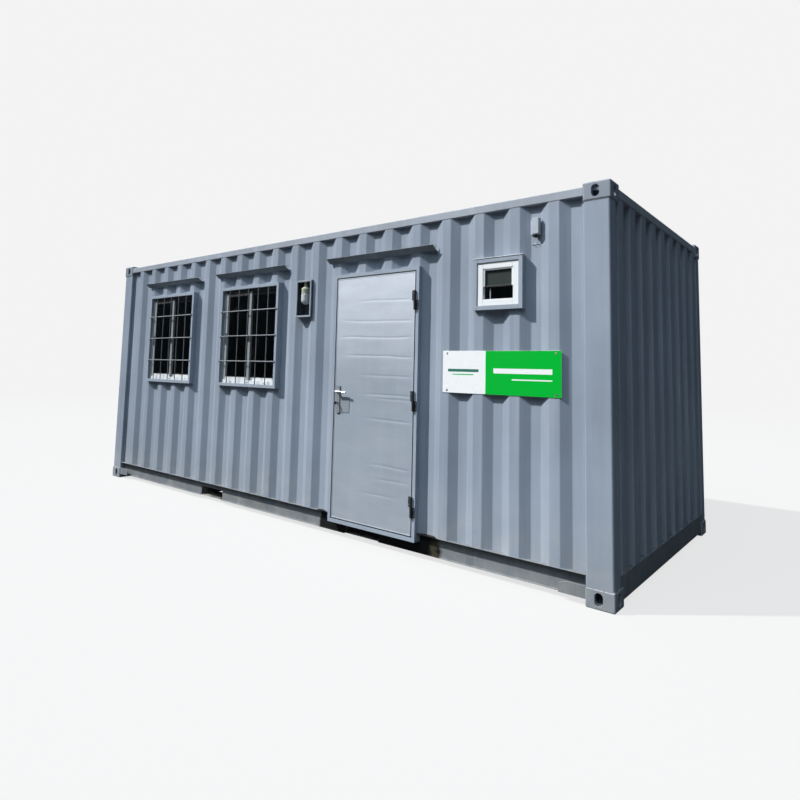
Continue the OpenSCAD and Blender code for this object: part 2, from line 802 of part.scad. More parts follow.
// A head or threshold from z0 to z1 between the jambs, with a stop from z2 to z3 behind the leaf
module frame_rail(z0, z1, z2, z3, back) {
    front_block(-stop_w + seat, stop_w - seat, back, jamb_y, z0, z1);
    front_block(-clear_w + seat, clear_w - seat, stop_y + seat, jamb_y, z0, z1);
    front_block(-stop_w + seat, stop_w - seat, back, stop_y, z2, z3);
}

module hinge_places() {
    for (z = hinge_zs) translate([hinge_x, -hinge_y, z]) children();
}

knuckle_h = (hinge_h - knuckle_gap) / 2;

// Lower knuckles, each with a pin and a wing welded to the jamb
module frame_hinges() {
    color(paint) hinge_places() translate([0, 0, -hinge_h / 2]) {
        cylinder(h = knuckle_h, r = hinge_r);
        cylinder(h = hinge_h - 14, r = pin_r);
        block([0, hinge_y - jamb_y - seat - wing_t, 0], [hinge_wing, hinge_y - jamb_y - seat, knuckle_h]);
    }
}

// Upper knuckles, bored for the pins, each with a wing welded to the leaf
module leaf_hinges() {
    color(paint) hinge_places() translate([0, 0, knuckle_gap / 2]) difference() {
        union() {
            cylinder(h = knuckle_h, r = hinge_r);
            block([-hinge_wing, hinge_y - leaf_y - seat - wing_t - 2.5, 0],
                  [0, hinge_y - leaf_y - seat, knuckle_h]);
        }
        translate([0, 0, -eps]) cylinder(h = knuckle_h - 10 + eps, r = pin_r + pin_gap);
    }
}

module door_leaf() {
    color([0.72, 0.74, 0.77]) difference() {
        front_block(door_x - leaf_w / 2, door_x + leaf_w / 2, leaf_y - leaf_t, leaf_y,
                    leaf_z, leaf_z + leaf_h);
        translate([lever_x, -leaf_y + leaf_t + eps, lever_z]) rotate([90, 0, 0])
            cylinder(h = leaf_t + 2 * eps, r = spindle_r + 3);
    }
}

// A plate on each face of the leaf, bored for the spindle, with a key cylinder
module lock_plates() {
    cylinder_r = 10;
    cylinder_out = 5;
    color([0.80, 0.80, 0.80])
        for (front = [leaf_y + seat, leaf_y - leaf_t - seat - plate_t]) difference() {
            union() {
                front_block(lever_x - plate_w / 2, lever_x + plate_w / 2, front, front + plate_t,
                            plate_z - plate_h / 2, plate_z + plate_h / 2);
                translate([lever_x, -front + cylinder_out, cylinder_z]) rotate([90, 0, 0])
                    cylinder(h = plate_t + 2 * cylinder_out, r = cylinder_r);
            }
            translate([lever_x, -front + plate_t, lever_z]) rotate([90, 0, 0])
                cylinder(h = 3 * plate_t, r = spindle_r + spindle_gap);
            block([lever_x - 60, -leaf_y - seat, cylinder_z - 60],
                  [lever_x + 60, -leaf_y + leaf_t + seat, cylinder_z + 60]);
        }
}

// Two grips on one spindle, pointing towards the hinges
module lever_handle() {
    out = leaf_y + lever_out;
    into = leaf_y - leaf_t - lever_out;
    color([0.86, 0.86, 0.86]) translate([lever_x, 0, lever_z]) {
        translate([0, -into, 0]) rotate([90, 0, 0]) cylinder(h = out - into, r = spindle_r);
        for (y = [-out, -into]) translate([0, y, 0]) {
            sphere(r = lever_r);
            rotate([0, 90, 0]) cylinder(h = lever_l, r = lever_r);
            translate([lever_l, 0, 0]) sphere(r = lever_r);
        }
    }
}

bottom_castings();
top_castings();
corner_posts();
top_side_rails();
end_headers();
bottom_rail_front();
bottom_rail_back();
end_sills();
rail_gussets();
forklift_pockets();
cross_members();
floor_boards();
front_wall_left();
front_wall_lamp_bay();
front_wall_over_door();
front_wall_right();
back_wall();
left_end_wall();
right_end_wall();
roof_panel();
front_lining();
back_lining();
end_linings();
ceiling();
window_casings();
window_frames();
window_sashes();
window_glass();
window_grilles();
rain_gutters();
vent_casing();
vent_frame();
vent_glass();
lamp_recess();
lamp_base();
lamp_jar();
sign_board();
socket_box();
door_frame();
frame_hinges();
door_leaf();
leaf_hinges();
lock_plates();
lever_handle();
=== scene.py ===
"""Looks for the shipping container cabin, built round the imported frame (Blender 4.5)."""
import json
import math

import bmesh
import bpy
from mathutils import Matrix, Vector, noise


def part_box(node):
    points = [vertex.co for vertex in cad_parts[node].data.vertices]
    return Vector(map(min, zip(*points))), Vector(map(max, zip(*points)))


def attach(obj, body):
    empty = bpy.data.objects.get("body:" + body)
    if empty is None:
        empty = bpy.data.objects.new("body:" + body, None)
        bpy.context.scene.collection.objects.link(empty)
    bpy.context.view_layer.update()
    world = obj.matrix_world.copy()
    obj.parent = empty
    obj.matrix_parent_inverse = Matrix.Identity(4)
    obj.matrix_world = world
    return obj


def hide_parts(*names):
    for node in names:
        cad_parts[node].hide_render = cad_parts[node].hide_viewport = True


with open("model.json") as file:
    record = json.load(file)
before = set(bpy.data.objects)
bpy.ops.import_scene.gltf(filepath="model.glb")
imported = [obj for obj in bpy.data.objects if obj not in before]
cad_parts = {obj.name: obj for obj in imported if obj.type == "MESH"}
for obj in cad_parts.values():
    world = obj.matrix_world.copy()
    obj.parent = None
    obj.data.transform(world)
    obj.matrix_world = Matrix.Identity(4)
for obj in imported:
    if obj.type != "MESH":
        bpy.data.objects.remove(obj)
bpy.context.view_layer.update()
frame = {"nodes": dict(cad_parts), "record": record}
NODES = frame["nodes"]
SCENE = bpy.context.scene
BODY_OF = {node: body for body, members in frame["record"]["behaviour"]["bodies"].items()
           for node in members}
TAU = math.tau


def placed(name, data):
    """A new object with this data, linked to the scene."""
    made = bpy.data.objects.new(name, data)
    SCENE.collection.objects.link(made)
    return made


# ---------------------------------------------------------------- nodes

def fill(tree, node, inputs):
    """Wires or sets a node's inputs: each value is a socket or a plain value."""
    for key, value in inputs.items():
        if isinstance(value, bpy.types.NodeSocket):
            tree.links.new(value, node.inputs[key])
        else:
            node.inputs[key].default_value = value
    return node


def add(tree, kind, inputs=None, **settings):
    """A new node; settings are its properties."""
    made = tree.nodes.new(kind)
    for key, value in settings.items():
        setattr(made, key, value)
    return fill(tree, made, inputs or {})


def maths(tree, operation, a, b=0.0, clamp=False):
    return add(tree, "ShaderNodeMath", {0: a, 1: b}, operation=operation, use_clamp=clamp).outputs[0]


def times(tree, a, b, clamp=False):
    return maths(tree, "MULTIPLY", a, b, clamp)


def plus(tree, a, b, clamp=False):
    return maths(tree, "ADD", a, b, clamp)


def less(tree, a, b):
    return maths(tree, "SUBTRACT", a, b)


def between(tree, value, low, high, to_low=0.0, to_high=1.0):
    """Value from low to high becomes to_low to to_high, held at the ends."""
    return add(tree, "ShaderNodeMapRange", {
        "Value": value, "From Min": low, "From Max": high, "To Min": to_low, "To Max": to_high,
    }).outputs["Result"]


def mixed(tree, factor, a, b, blend="MIX"):
    return add(tree, "ShaderNodeMix", {0: factor, 6: a, 7: b},
               data_type="RGBA", blend_type=blend).outputs[2]


def either(tree, factor, a, b):
    """The shader of node a where factor is 0, of node b where it is 1."""
    return add(tree, "ShaderNodeMixShader", {0: factor, 1: a.outputs[0], 2: b.outputs[0]})


def noise_of(tree, vector, scale, detail=3.0, roughness=0.55):
    return add(tree, "ShaderNodeTexNoise", {
        "Vector": vector, "Scale": scale, "Detail": detail, "Roughness": roughness,
    }).outputs["Fac"]


def stretched(tree, vector, scale):
    return add(tree, "ShaderNodeMapping", {"Vector": vector, "Scale": scale}).outputs[0]


def part_of(tree, vector, axis):
    return add(tree, "ShaderNodeSeparateXYZ", {0: vector}).outputs[axis]


def joined(tree, **parts):
    return add(tree, "ShaderNodeCombineXYZ", parts).outputs[0]


# ---------------------------------------------------------------- camera, light, stage

YAW, PITCH, ROLL = -0.6941, 0.0926, 0.0252
EYE = (4.2170, -4.8291, 1.3714)
VIEW_SIDE = 800                                 # the next two are given for a view this wide
FOCAL_LENGTH, OPTICAL_CENTRE = 588.45, (380.858, 315.838)
SENSOR = 36

LIGHTS = (  # name, power, angle, colour, direction it comes from
    ("key_light", 5.0, 1.6, (1.0, 0.98, 0.95), (-0.525, -0.472, 0.708)),
    ("fill_light", 1.3, 45, (0.76, 0.91, 1.0), (0.03, -0.63, 0.776)),
)
FLOOR_REACH = 42.0
FLOOR_FADE = (7.0, 26.0)


def place_camera():
    ahead = Vector((math.sin(YAW) * math.cos(PITCH), math.cos(YAW) * math.cos(PITCH), math.sin(PITCH)))
    right = Vector((math.cos(YAW), -math.sin(YAW), 0))
    up = right.cross(ahead)
    turned_right = right * math.cos(ROLL) + up * math.sin(ROLL)
    turned_up = up * math.cos(ROLL) - right * math.sin(ROLL)
    data = bpy.data.cameras.new("camera")
    data.sensor_width = SENSOR
    data.lens = FOCAL_LENGTH / VIEW_SIDE * SENSOR
    data.shift_x = (VIEW_SIDE / 2 - OPTICAL_CENTRE[0]) / VIEW_SIDE
    data.shift_y = (OPTICAL_CENTRE[1] - VIEW_SIDE / 2) / VIEW_SIDE
    data.clip_end = 500
    camera = placed("camera", data)
    axes = Matrix((turned_right, turned_up, -ahead)).transposed()
    camera.matrix_world = Matrix.Translation(EYE) @ axes.to_4x4()
    SCENE.camera = camera


def set_world():
    """Plain pale grey to the eye, a bluish sky to everything else."""
    world = bpy.data.worlds.new("world")
    SCENE.world = world
    world.use_nodes = True
    tree = world.node_tree
    tree.nodes.clear()
    rise = part_of(tree, add(tree, "ShaderNodeTexCoord").outputs["Generated"], "Z")
    sky = add(tree, "ShaderNodeBackground", {
        "Color": (0.55, 0.76, 1.0, 1), "Strength": between(tree, rise, 0.0, 0.9, 0.02, 0.24)})
    backdrop = add(tree, "ShaderNodeBackground", {"Color": (0.896, 0.896, 0.896, 1), "Strength": 1.0})
    seen = add(tree, "ShaderNodeLightPath").outputs["Is Camera Ray"]
    add(tree, "ShaderNodeOutputWorld", {"Surface": either(tree, seen, sky, backdrop).outputs[0]})


def set_lights():
    for name, power, angle, colour, way in LIGHTS:
        data = bpy.data.lights.new(name, "SUN")
        data.energy, data.angle, data.color = power, math.radians(angle), colour
        placed(name, data).rotation_euler = Vector(way).to_track_quat("Z", "Y").to_euler()


def lay_floor():
    """A pale floor that fades into the backdrop a long way out."""
    mesh = bpy.data.meshes.new("stage_floor")
    bm = bmesh.new()
    bmesh.ops.create_circle(bm, cap_ends=True, radius=FLOOR_REACH, segments=96)
    bm.to_mesh(mesh)
    bm.free()
    floor = placed("stage_floor", mesh)
    floor.location.z = -0.001
    pale = bpy.data.materials.new("stage_floor")
    pale.use_nodes = True
    tree = pale.node_tree
    tree.nodes.clear()
    glow = add(tree, "ShaderNodeEmission", {"Color": (1, 1, 1, 1), "Strength": 0.74})
    shaded = add(tree, "ShaderNodeBsdfDiffuse", {"Color": (0.12, 0.12, 0.12, 1)})
    shown = add(tree, "ShaderNodeAddShader", {0: shaded.outputs[0], 1: glow.outputs[0]})
    ground = add(tree, "ShaderNodeBsdfDiffuse", {"Color": (0.09, 0.09, 0.09, 1)})
    look = either(tree, add(tree, "ShaderNodeLightPath").outputs["Is Camera Ray"], ground, shown)
    spot = add(tree, "ShaderNodeTexCoord").outputs["Object"]
    out = add(tree, "ShaderNodeVectorMath", {0: spot}, operation="LENGTH").outputs["Value"]
    faded = either(tree, between(tree, out, *FLOOR_FADE), look, add(tree, "ShaderNodeBsdfTransparent"))
    add(tree, "ShaderNodeOutputMaterial", {"Surface": faded.outputs[0]})
    mesh.materials.append(pale)


place_camera()
set_world()
set_lights()
lay_floor()
SCENE.view_settings.view_transform = "Standard"
SCENE.view_settings.look = "None"


# ---------------------------------------------------------------- shared effects

def effect(name, takes, gives):
    """An empty shader node group: takes has its inputs' values, gives its outputs' kinds."""
    group = bpy.data.node_groups.new(name, "ShaderNodeTree")
    socket = group.interface.new_socket
    socket("Vector", in_out="INPUT", socket_type="NodeSocketVector")
    for label, value in takes.items():
        kind = "NodeSocketColor" if isinstance(value, tuple) else "NodeSocketFloat"
        socket(label, in_out="INPUT", socket_type=kind).default_value = value
    for label, kind in gives.items():
        socket(label, in_out="OUTPUT", socket_type="NodeSocket" + kind)
    return group, group.nodes.new("NodeGroupInput").outputs, group.nodes.new("NodeGroupOutput")


def make_weathering():
    """Soft tone, rain streaks, dust low down, worn edges with rust, and a fine paint texture."""
    group, given, made = effect(
        "weathering",
        {"Paint": (0.4, 0.4, 0.4, 1), "Dust": (0.42, 0.40, 0.36, 1), "Tone": 0.10, "Streaks": 0.25,
         "Low Dust": 0.5, "Wear": 0.5, "Edge": 0.0},
        {"Color": "Color", "Roughness": "Float", "Height": "Float"},
    )
    v, wear = given["Vector"], given["Wear"]
    broad = noise_of(group, v, 1.1, 4.0)
    swing = maths(group, "MULTIPLY_ADD", between(group, broad, 0.3, 0.7, -1.0, 1.0), given["Tone"])
    swing.node.inputs[2].default_value = 1.0
    colour = mixed(group, 1.0, given["Paint"], swing, "MULTIPLY")

    runs = noise_of(group, stretched(group, v, (13, 13, 0.55)), 1.0, 5.0, 0.62)
    for start, full, share, tint in ((0.53, 0.72, 0.45, (0.62, 0.66, 0.72, 1)),
                                     (0.46, 0.30, 0.40, (0.12, 0.13, 0.14, 1))):
        streak = times(group, between(group, runs, start, full), given["Streaks"])
        colour = mixed(group, times(group, streak, share), colour, tint)

    speckle = noise_of(group, v, 9.0, 6.0, 0.7)
    low = times(group, between(group, part_of(group, v, "Z"), 0.62, 0.04),
                between(group, speckle, 0.35, 0.72))
    low = times(group, low, given["Low Dust"], True)
    colour = mixed(group, low, colour, given["Dust"])

    chips = noise_of(group, v, 34.0, 6.0, 0.75)
    keen = times(group, given["Edge"], wear)
    bare = times(group, between(group, chips, 0.56, 0.64), keen, True)
    rubbed = times(group, between(group, chips, 0.38, 0.60), times(group, keen, 0.5))
    pitted = noise_of(group, v, 60.0, 5.0, 0.7)
    spots = times(group, between(group, pitted, 0.705, 0.74), wear)
    spots = times(group, spots, between(group, broad, 0.50, 0.62), True)
    rust = mixed(group, between(group, pitted, 0.4, 0.6), (0.16, 0.055, 0.022, 1), (0.30, 0.13, 0.05, 1))
    scars = maths(group, "MAXIMUM", bare, spots, True)
    colour = mixed(group, rubbed, colour, (0.50, 0.54, 0.58, 1))
    colour = mixed(group, scars, colour, rust)

    rough = plus(group, between(group, speckle, 0.3, 0.7, 0.40, 0.56), times(group, low, 0.3))
    rough = plus(group, rough, times(group, scars, 0.35), True)
    tall = plus(group, times(group, noise_of(group, v, 5.0, 2.0), 0.6),
                times(group, noise_of(group, v, 320.0, 2.0), 0.04))
    tall = less(group, tall, times(group, scars, 0.05))
    fill(group, made, {"Color": colour, "Roughness": rough, "Height": tall})
    return group


def make_smudges():
    """Uneven gloss with faint rubbed lines, for glass, metal and plastic."""
    group, given, made = effect("smudges", {"Low": 0.1, "High": 0.3, "Scale": 6.0},
                                {"Roughness": "Float", "Mask": "Float"})
    mask = between(group, noise_of(group, given["Vector"], given["Scale"], 5.0, 0.6), 0.35, 0.68)
    rough = plus(group, times(group, mask, less(group, given["High"], given["Low"])), given["Low"])
    fill(group, made, {"Roughness": rough, "Mask": mask})
    return group


WEATHERING = make_weathering()
SMUDGES = make_smudges()


# ---------------------------------------------------------------- materials

def material(name):
    made = bpy.data.materials.new(name)
    made.use_nodes = True
    tree = made.node_tree
    spot = add(tree, "ShaderNodeTexCoord").outputs["Object"]
    return made, tree, tree.nodes["Principled BSDF"], spot


def bump(tree, shader, height, distance):
    made = add(tree, "ShaderNodeBump", {"Height": height, "Distance": distance, "Strength": 1.0})
    fill(tree, shader, {"Normal": made.outputs[0]})


def painted(name, colour, tone=0.11, streaks=0.32, dust=0.5, wear=0.5, gloss=0.35):
    """A weathered paint, with its tree, shader, coordinates and the effect's outputs."""
    made, tree, shader, spot = material(name)
    edge = add(tree, "ShaderNodeAttribute", attribute_name="edge").outputs["Fac"]
    worn = add(tree, "ShaderNodeGroup", {
        "Vector": spot, "Paint": (*colour, 1), "Tone": tone, "Streaks": streaks, "Low Dust": dust,
        "Wear": wear, "Edge": edge}, node_tree=WEATHERING).outputs
    fill(tree, shader, {"Base Color": worn["Color"], "Roughness": worn["Roughness"],
                        "Specular IOR Level": gloss})
    bump(tree, shader, worn["Height"], 0.0022)
    return made, tree, shader, spot, worn


def paint(name, colour, **finish):
    return painted(name, colour, **finish)[0]


LOW_STEEL = {"colour": (0.165, 0.183, 0.205), "dust": 0.4, "wear": 0.9, "streaks": 0.4}
GREY_PAINT = paint("grey_paint", (0.266, 0.310, 0.380))
LOW_PAINT = paint("grey_paint_low", **LOW_STEEL)
CASTING_PAINT = paint("grey_paint_castings", (0.225, 0.258, 0.307), dust=0.45, wear=0.8)
GUTTER_PAINT = paint("grey_paint_gutters", (0.20, 0.23, 0.26))
TOP_RAIL_PAINT = paint("grey_paint_top_rails", (0.325, 0.360, 0.415), dust=0.0)
# near-black paint inside the lamp's recess: painted shade
RECESS_PAINTED_SHADE = paint("grey_paint_recess_painted_shade", (0.060, 0.068, 0.078), dust=0.0)
DARK_PAINT = paint("dark_paint", (0.045, 0.047, 0.05), dust=0.8, wear=0.6)
CASING_PAINT = paint("grey_paint_casings", (0.30, 0.345, 0.415), streaks=0.15, dust=0.0, wear=0.3)
# one bar paint in two copies: a darker one as painted shade and a lighter one as painted light
BAR_PAINTED_SHADE = paint("grey_paint_bars_painted_shade", (0.13, 0.145, 0.16), streaks=0.1, dust=0.0, wear=0.6)
LEVEL_BAR_PAINTED_LIGHT = paint("grey_paint_level_bars_painted_light", (0.24, 0.26, 0.28), streaks=0.1, dust=0.0, wear=0.8)
TAG_PAINT = paint("tag_paint", (0.245, 0.272, 0.305), streaks=0.1, dust=0.0, wear=0.4, gloss=0.5)


def make_rail_paint():
    """The front bottom rail: painted, and near black under and beside the door, with an olive patch."""
    made, tree, shader, spot, worn = painted("grey_paint_rail", **LOW_STEEL)
    ragged = times(tree, less(tree, noise_of(tree, spot, 11.0, 5.0), 0.5), 0.09)
    at = plus(tree, part_of(tree, spot, "X"), ragged)
    # from X 0.54 m to 1.79 m, with ragged ends, the rail is near black; an olive patch lies near its right
    # end
    inside = times(tree, between(tree, at, 0.540, 0.560), between(tree, at, 1.790, 1.760))
    olive = times(tree, between(tree, at, 1.690, 1.705),
                  between(tree, noise_of(tree, spot, 22.0), 0.4, 0.6))
    black_stretch = mixed(tree, olive, (0.006, 0.006, 0.007, 1), (0.045, 0.042, 0.024, 1))
    colour = mixed(tree, times(tree, inside, 0.98), worn["Color"], black_stretch)
    fill(tree, shader, {"Base Color": colour, "Specular IOR Level": 0.15})
    return made


def make_door_paint():
    """Pale paint on a thin skin: hand marks, dust low down and a painted sheen that makes the upper part
    paler.
    """
    made, tree, shader, spot, worn = painted(
        "door_paint", (0.300, 0.338, 0.398), tone=0.05, streaks=0.14, dust=0.25, wear=0.25, gloss=0.5)
    smears = noise_of(tree, stretched(tree, spot, (2.2, 2.2, 7.0)), 1.6, 5.0, 0.6)
    pale = mixed(tree, between(tree, smears, 0.42, 0.72, 0.0, 0.20), worn["Color"], (0.50, 0.53, 0.58, 1))
    # painted sheen: the skin turns paler from 1.25 m up to 2.10 m, standing in for light
    painted_sheen_rise = between(tree, part_of(tree, spot, "Z"), 1.25, 2.10)
    painted_sheen = times(tree, painted_sheen_rise, between(tree, smears, 0.25, 0.75, 0.65, 1.0))
    rough = less(tree, worn["Roughness"], between(tree, smears, 0.4, 0.7, 0.02, 0.14))
    fill(tree, shader, {"Base Color": mixed(tree, painted_sheen, pale, (0.66, 0.70, 0.78, 1)),
                        "Roughness": rough})
    return made


RAIL_PAINT = make_rail_paint()
DOOR_PAINT = make_door_paint()


def smudged(name, low, high, scale, dark, light):
    """A material with uneven gloss whose colour drifts from light to dark."""
    made, tree, shader, spot = material(name)
    rub = add(tree, "ShaderNodeGroup", {"Vector": spot, "Low": low, "High": high, "Scale": scale},
              node_tree=SMUDGES).outputs
    fill(tree, shader, {"Base Color": mixed(tree, rub["Mask"], (*light, 1), (*dark, 1)),
                        "Roughness": rub["Roughness"]})
    return made, tree, shader, spot


def plain(name, colour, low, high, scale=6.0, metallic=0.0, gloss=0.5, tint=0.06, fine=240.0):
    """Metal or plastic with uneven gloss, a slight change of tone and a fine texture."""
    made, tree, shader, spot = smudged(name, low, high, scale, [c * (1 - tint) for c in colour],
                                       [min(1.0, c * (1 + tint)) for c in colour])
    fill(tree, shader, {"Metallic": metallic, "Specular IOR Level": gloss})
    bump(tree, shader, noise_of(tree, spot, fine, 2.0), 0.0004)
    return made


ALUMINIUM = plain("aluminium", (0.78, 0.80, 0.82), 0.30, 0.48, 9.0, metallic=0.15, tint=0.05)
# darker copy of the aluminium: painted shade on the window uprights
STILE_PAINTED_SHADE = plain("aluminium_stiles_painted_shade", (0.32, 0.35, 0.37), 0.30, 0.48, 9.0, metallic=0.15, tint=0.08)
# near-black copy of the aluminium: painted shade on the top members under the casing's head
HEAD_PAINTED_SHADE = plain("aluminium_head_painted_shade", (0.050, 0.052, 0.055), 0.40, 0.60, 9.0)
WHITE_PLASTIC = plain("white_plastic", (0.80, 0.82, 0.84), 0.22, 0.42, 5.0, tint=0.04)
LAMP_PLASTIC = plain("lamp_plastic", (0.52, 0.54, 0.43), 0.35, 0.55, 18.0, tint=0.12)
SIGN_WHITE = plain("sign_white", (0.86, 0.88, 0.89), 0.16, 0.34, 3.0, tint=0.03)
SIGN_GREEN = plain("sign_green", (0.0, 0.44, 0.035), 0.25, 0.40, 3.0, tint=0.04, gloss=0.25)
SIGN_DARK = plain("sign_dark", (0.035, 0.17, 0.13), 0.2, 0.4, 3.0)
GREY_PLASTIC = plain("grey_plastic", (0.42, 0.46, 0.53), 0.30, 0.50, 14.0, tint=0.08)
SATIN_STEEL = plain("satin_steel", (0.72, 0.72, 0.71), 0.20, 0.36, 26.0, metallic=1.0, fine=600.0)
SCREW_STEEL = plain("screw_steel", (0.50, 0.49, 0.47), 0.30, 0.55, 60.0, metallic=1.0, tint=0.15)
# near-black steel: the key's own colour, and painted shade on the hinges in the gap by the door
DARK_STEEL_AND_HINGE_SHADE = plain("dark_steel_and_hinge_shade", (0.035, 0.038, 0.042), 0.35, 0.60, 40.0, metallic=0.3, tint=0.2)
PLATE_STEEL = plain("plate_steel", (0.29, 0.315, 0.34), 0.28, 0.44, 26.0, metallic=0.25, tint=0.10)
# black rubber for seals and gaskets, also used on the door leaf's edges as painted shade for the gap round
# the door
RUBBER_AND_GAP_SHADE = plain("rubber_and_gap_shade", (0.018, 0.018, 0.019), 0.55, 0.80, 30.0, tint=0.2)


def make_glass(name, colour, scale, low, high, clear=1.0):
    made, tree, shader, _ = smudged(name, low, high, scale,
                                    [min(1.0, c * 1.12) for c in colour], colour)
    fill(tree, shader, {"Transmission Weight": clear, "IOR": 1.45})
    return made


WINDOW_GLASS = make_glass("window_glass", (0.34, 0.38, 0.38), 4.0, 0.0, 0.10)
VENT_GLASS = make_glass("vent_glass_upper", (0.095, 0.115, 0.112), 6.0, 0.04, 0.20, 0.55)
CLEAR_GLASS = make_glass("clear_glass", (0.86, 0.89, 0.93), 20.0, 0.02, 0.12, 0.45)


def make_boards(name, colour, joint, every, deep, grain_look, stretch=None):
    """Boards with a fine joint every so many metres along X; grain_look is the noise's values."""
    made, tree, shader, spot = material(name)
    along_x = plus(tree, part_of(tree, spot, "X"), every * 40.5)
    phase = maths(tree, "ABSOLUTE", less(tree, maths(tree, "MODULO", along_x, every), every / 2))
    seam = between(tree, phase, 0.0020, 0.0045)
    grain = noise_of(tree, stretched(tree, spot, stretch) if stretch else spot, *grain_look)
    tone = mixed(tree, between(tree, grain, 0.35, 0.65), (*colour, 1), (*(c * deep for c in colour), 1))
    fill(tree, shader, {"Base Color": mixed(tree, seam, (*joint, 1), tone),
                        "Roughness": between(tree, grain, 0.3, 0.7, 0.42, 0.62)})
    bump(tree, shader, plus(tree, times(tree, seam, 0.6), times(tree, grain, 0.2)), 0.0015)
    return made


FLOOR_WOOD = make_boards("floor_wood", (0.36, 0.22, 0.11), (0.03, 0.02, 0.01), 1.22, 0.55,
                         (2.0, 8.0, 0.65), (1.2, 16.0, 16.0))
LINING_BOARD = make_boards("lining_board", (0.68, 0.67, 0.62), (0.25, 0.25, 0.24), 1.0, 0.90,
                           (3.0, 5.0, 0.6))


# ---------------------------------------------------------------- making pieces

MERGE = 1e-5                                    # how near two corners are one
FLAT = math.radians(0.8)                        # faces that turn less are one face
SHARP = math.radians(32)                        # edges that turn more stay crisp


def finish_mesh(name, bm, body, mats, replaces=(), weighted=True):
    """Turns a bmesh into a piece that rides on a body."""
    bm.normal_update()
    for face in bm.faces:
        face.smooth = True
    for edge in bm.edges:
        edge.smooth = len(edge.link_faces) == 2 and edge.calc_face_angle(0.0) < SHARP
    mesh = bpy.data.meshes.new(name)
    bm.to_mesh(mesh)
    bm.free()
    made = placed(name, mesh)
    for mat in (mats if isinstance(mats, list) else [mats]):
        mesh.materials.append(mat)
    if weighted:
        even = made.modifiers.new("even_normals", "WEIGHTED_NORMAL")
        even.keep_sharp = True
        even.weight = 90
    if replaces:
        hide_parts(*replaces)
    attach(made, body)
    return made


def stand_in(node, bm, mats, weighted=True):
    """A piece that is shown in place of a CAD node."""
    return finish_mesh(node + "_shown", bm, BODY_OF[node], mats, (node,), weighted)


def merged(node):
    bm = bmesh.new()
    bm.from_mesh(NODES[node].data)
    bmesh.ops.remove_doubles(bm, verts=bm.verts, dist=MERGE)
    bmesh.ops.dissolve_limit(bm, angle_limit=FLAT, verts=bm.verts, edges=bm.edges)
    return bm


def bevelled(bm, edges, width, segments):
    return bmesh.ops.bevel(bm, geom=edges, offset=width, offset_type="OFFSET", segments=segments,
                           profile=0.5, affect="EDGES", clamp_overlap=True)["faces"]


def rounded(bm, width, segments, low=40.0, high=180.0, pick=None, keen=1.0):
    """Rounds the edges whose faces turn by low to high degrees, and marks the new faces."""
    bm.normal_update()
    worn = bm.faces.layers.float.get("edge") or bm.faces.layers.float.new("edge")
    chosen = [edge for edge in bm.edges
              if len(edge.link_faces) == 2 and low <= math.degrees(edge.calc_face_angle(0.0)) <= high
              and (pick is None or pick(edge))]
    for face in bevelled(bm, chosen, width, segments):
        face[worn] = keen
    return bm


def dressed(node, mats, width, segments, *which):
    """A copy of a CAD node with rounded edges, which stands for it."""
    return stand_in(node, rounded(merged(node), width, segments, *which), mats)


def along(axis):
    """Picks edges that run along one axis."""
    def runs(edge):
        way = edge.verts[1].co - edge.verts[0].co
        return abs(way[axis]) > 0.999 * way.length
    return runs


def about(middle, reach):
    return middle - reach, middle + reach


def spread(first, last, count):
    """Evenly spaced places from the first to the last."""
    return [first + (last - first) * k / (count - 1) for k in range(count)]


def block(bm, x, y, z, bevel=0.0, segments=2, index=0):
    """Adds a box between two places on each axis, with its edges rounded."""
    low, high = (Vector(corner) for corner in zip(x, y, z))
    made = bmesh.ops.create_cube(bm, size=1.0, matrix=Matrix.Translation((low + high) / 2)
                                 @ Matrix.Diagonal((*(high - low), 1.0)))
    faces = {f for v in made["verts"] for f in v.link_faces}
    for face in faces:
        face.material_index = index
    if bevel:
        for face in bevelled(bm, list({e for f in faces for e in f.edges}), bevel, segments):
            face.material_index = index


def border(bm, x, y, z, wide, bottom, top, bevel, segments=1):
    """Strips round a rectangle: two uprights, then a lower and an upper one between them."""
    (x0, x1), (z0, z1) = x, z
    strips = [((x0, x0 + wide), z), ((x1 - wide, x1), z)]
    if bottom:
        strips.append(((x0 + wide, x1 - wide), (z0, z0 + bottom)))
    if top:
        strips.append(((x0 + wide, x1 - wide), (z1 - top, z1)))
    for across, tall in strips:
        block(bm, across, y, tall, bevel, segments)


def skin(bm, a, b):
    """Faces between two closed rings of as many points."""
    n = len(a)
    return [bm.faces.new((a[k], a[(k + 1) % n], b[(k + 1) % n], b[k])) for k in range(n)]


def lathe(bm, profile, centre, axis="Z", steps=48, index=0):
    """Turns (radius, distance) points round an axis through centre. A radius of 0 closes the end."""
    turn = {"Z": Matrix.Identity(3), "Y": Matrix.Rotation(math.radians(90), 3, "X")}[axis]
    rings = []
    for radius, distance in profile:
        angles = [TAU * i / steps for i in range(steps)] if radius > 0 else [0.0]
        rings.append([
            bm.verts.new(Vector(centre) + turn @ Vector((
                radius * math.cos(a), radius * math.sin(a), distance))) for a in angles])
    made = []
    for a, b in zip(rings, rings[1:]):
        if len(a) == 1:
            made += [bm.faces.new((a[0], b[i], b[(i + 1) % steps])) for i in range(steps)]
        elif len(b) == 1:
            made += [bm.faces.new((a[i], a[(i + 1) % steps], b[0])) for i in range(steps)]
        else:
            made += skin(bm, a, b)
    for face in made:
        face.material_index = index
    bmesh.ops.recalc_face_normals(bm, faces=made)


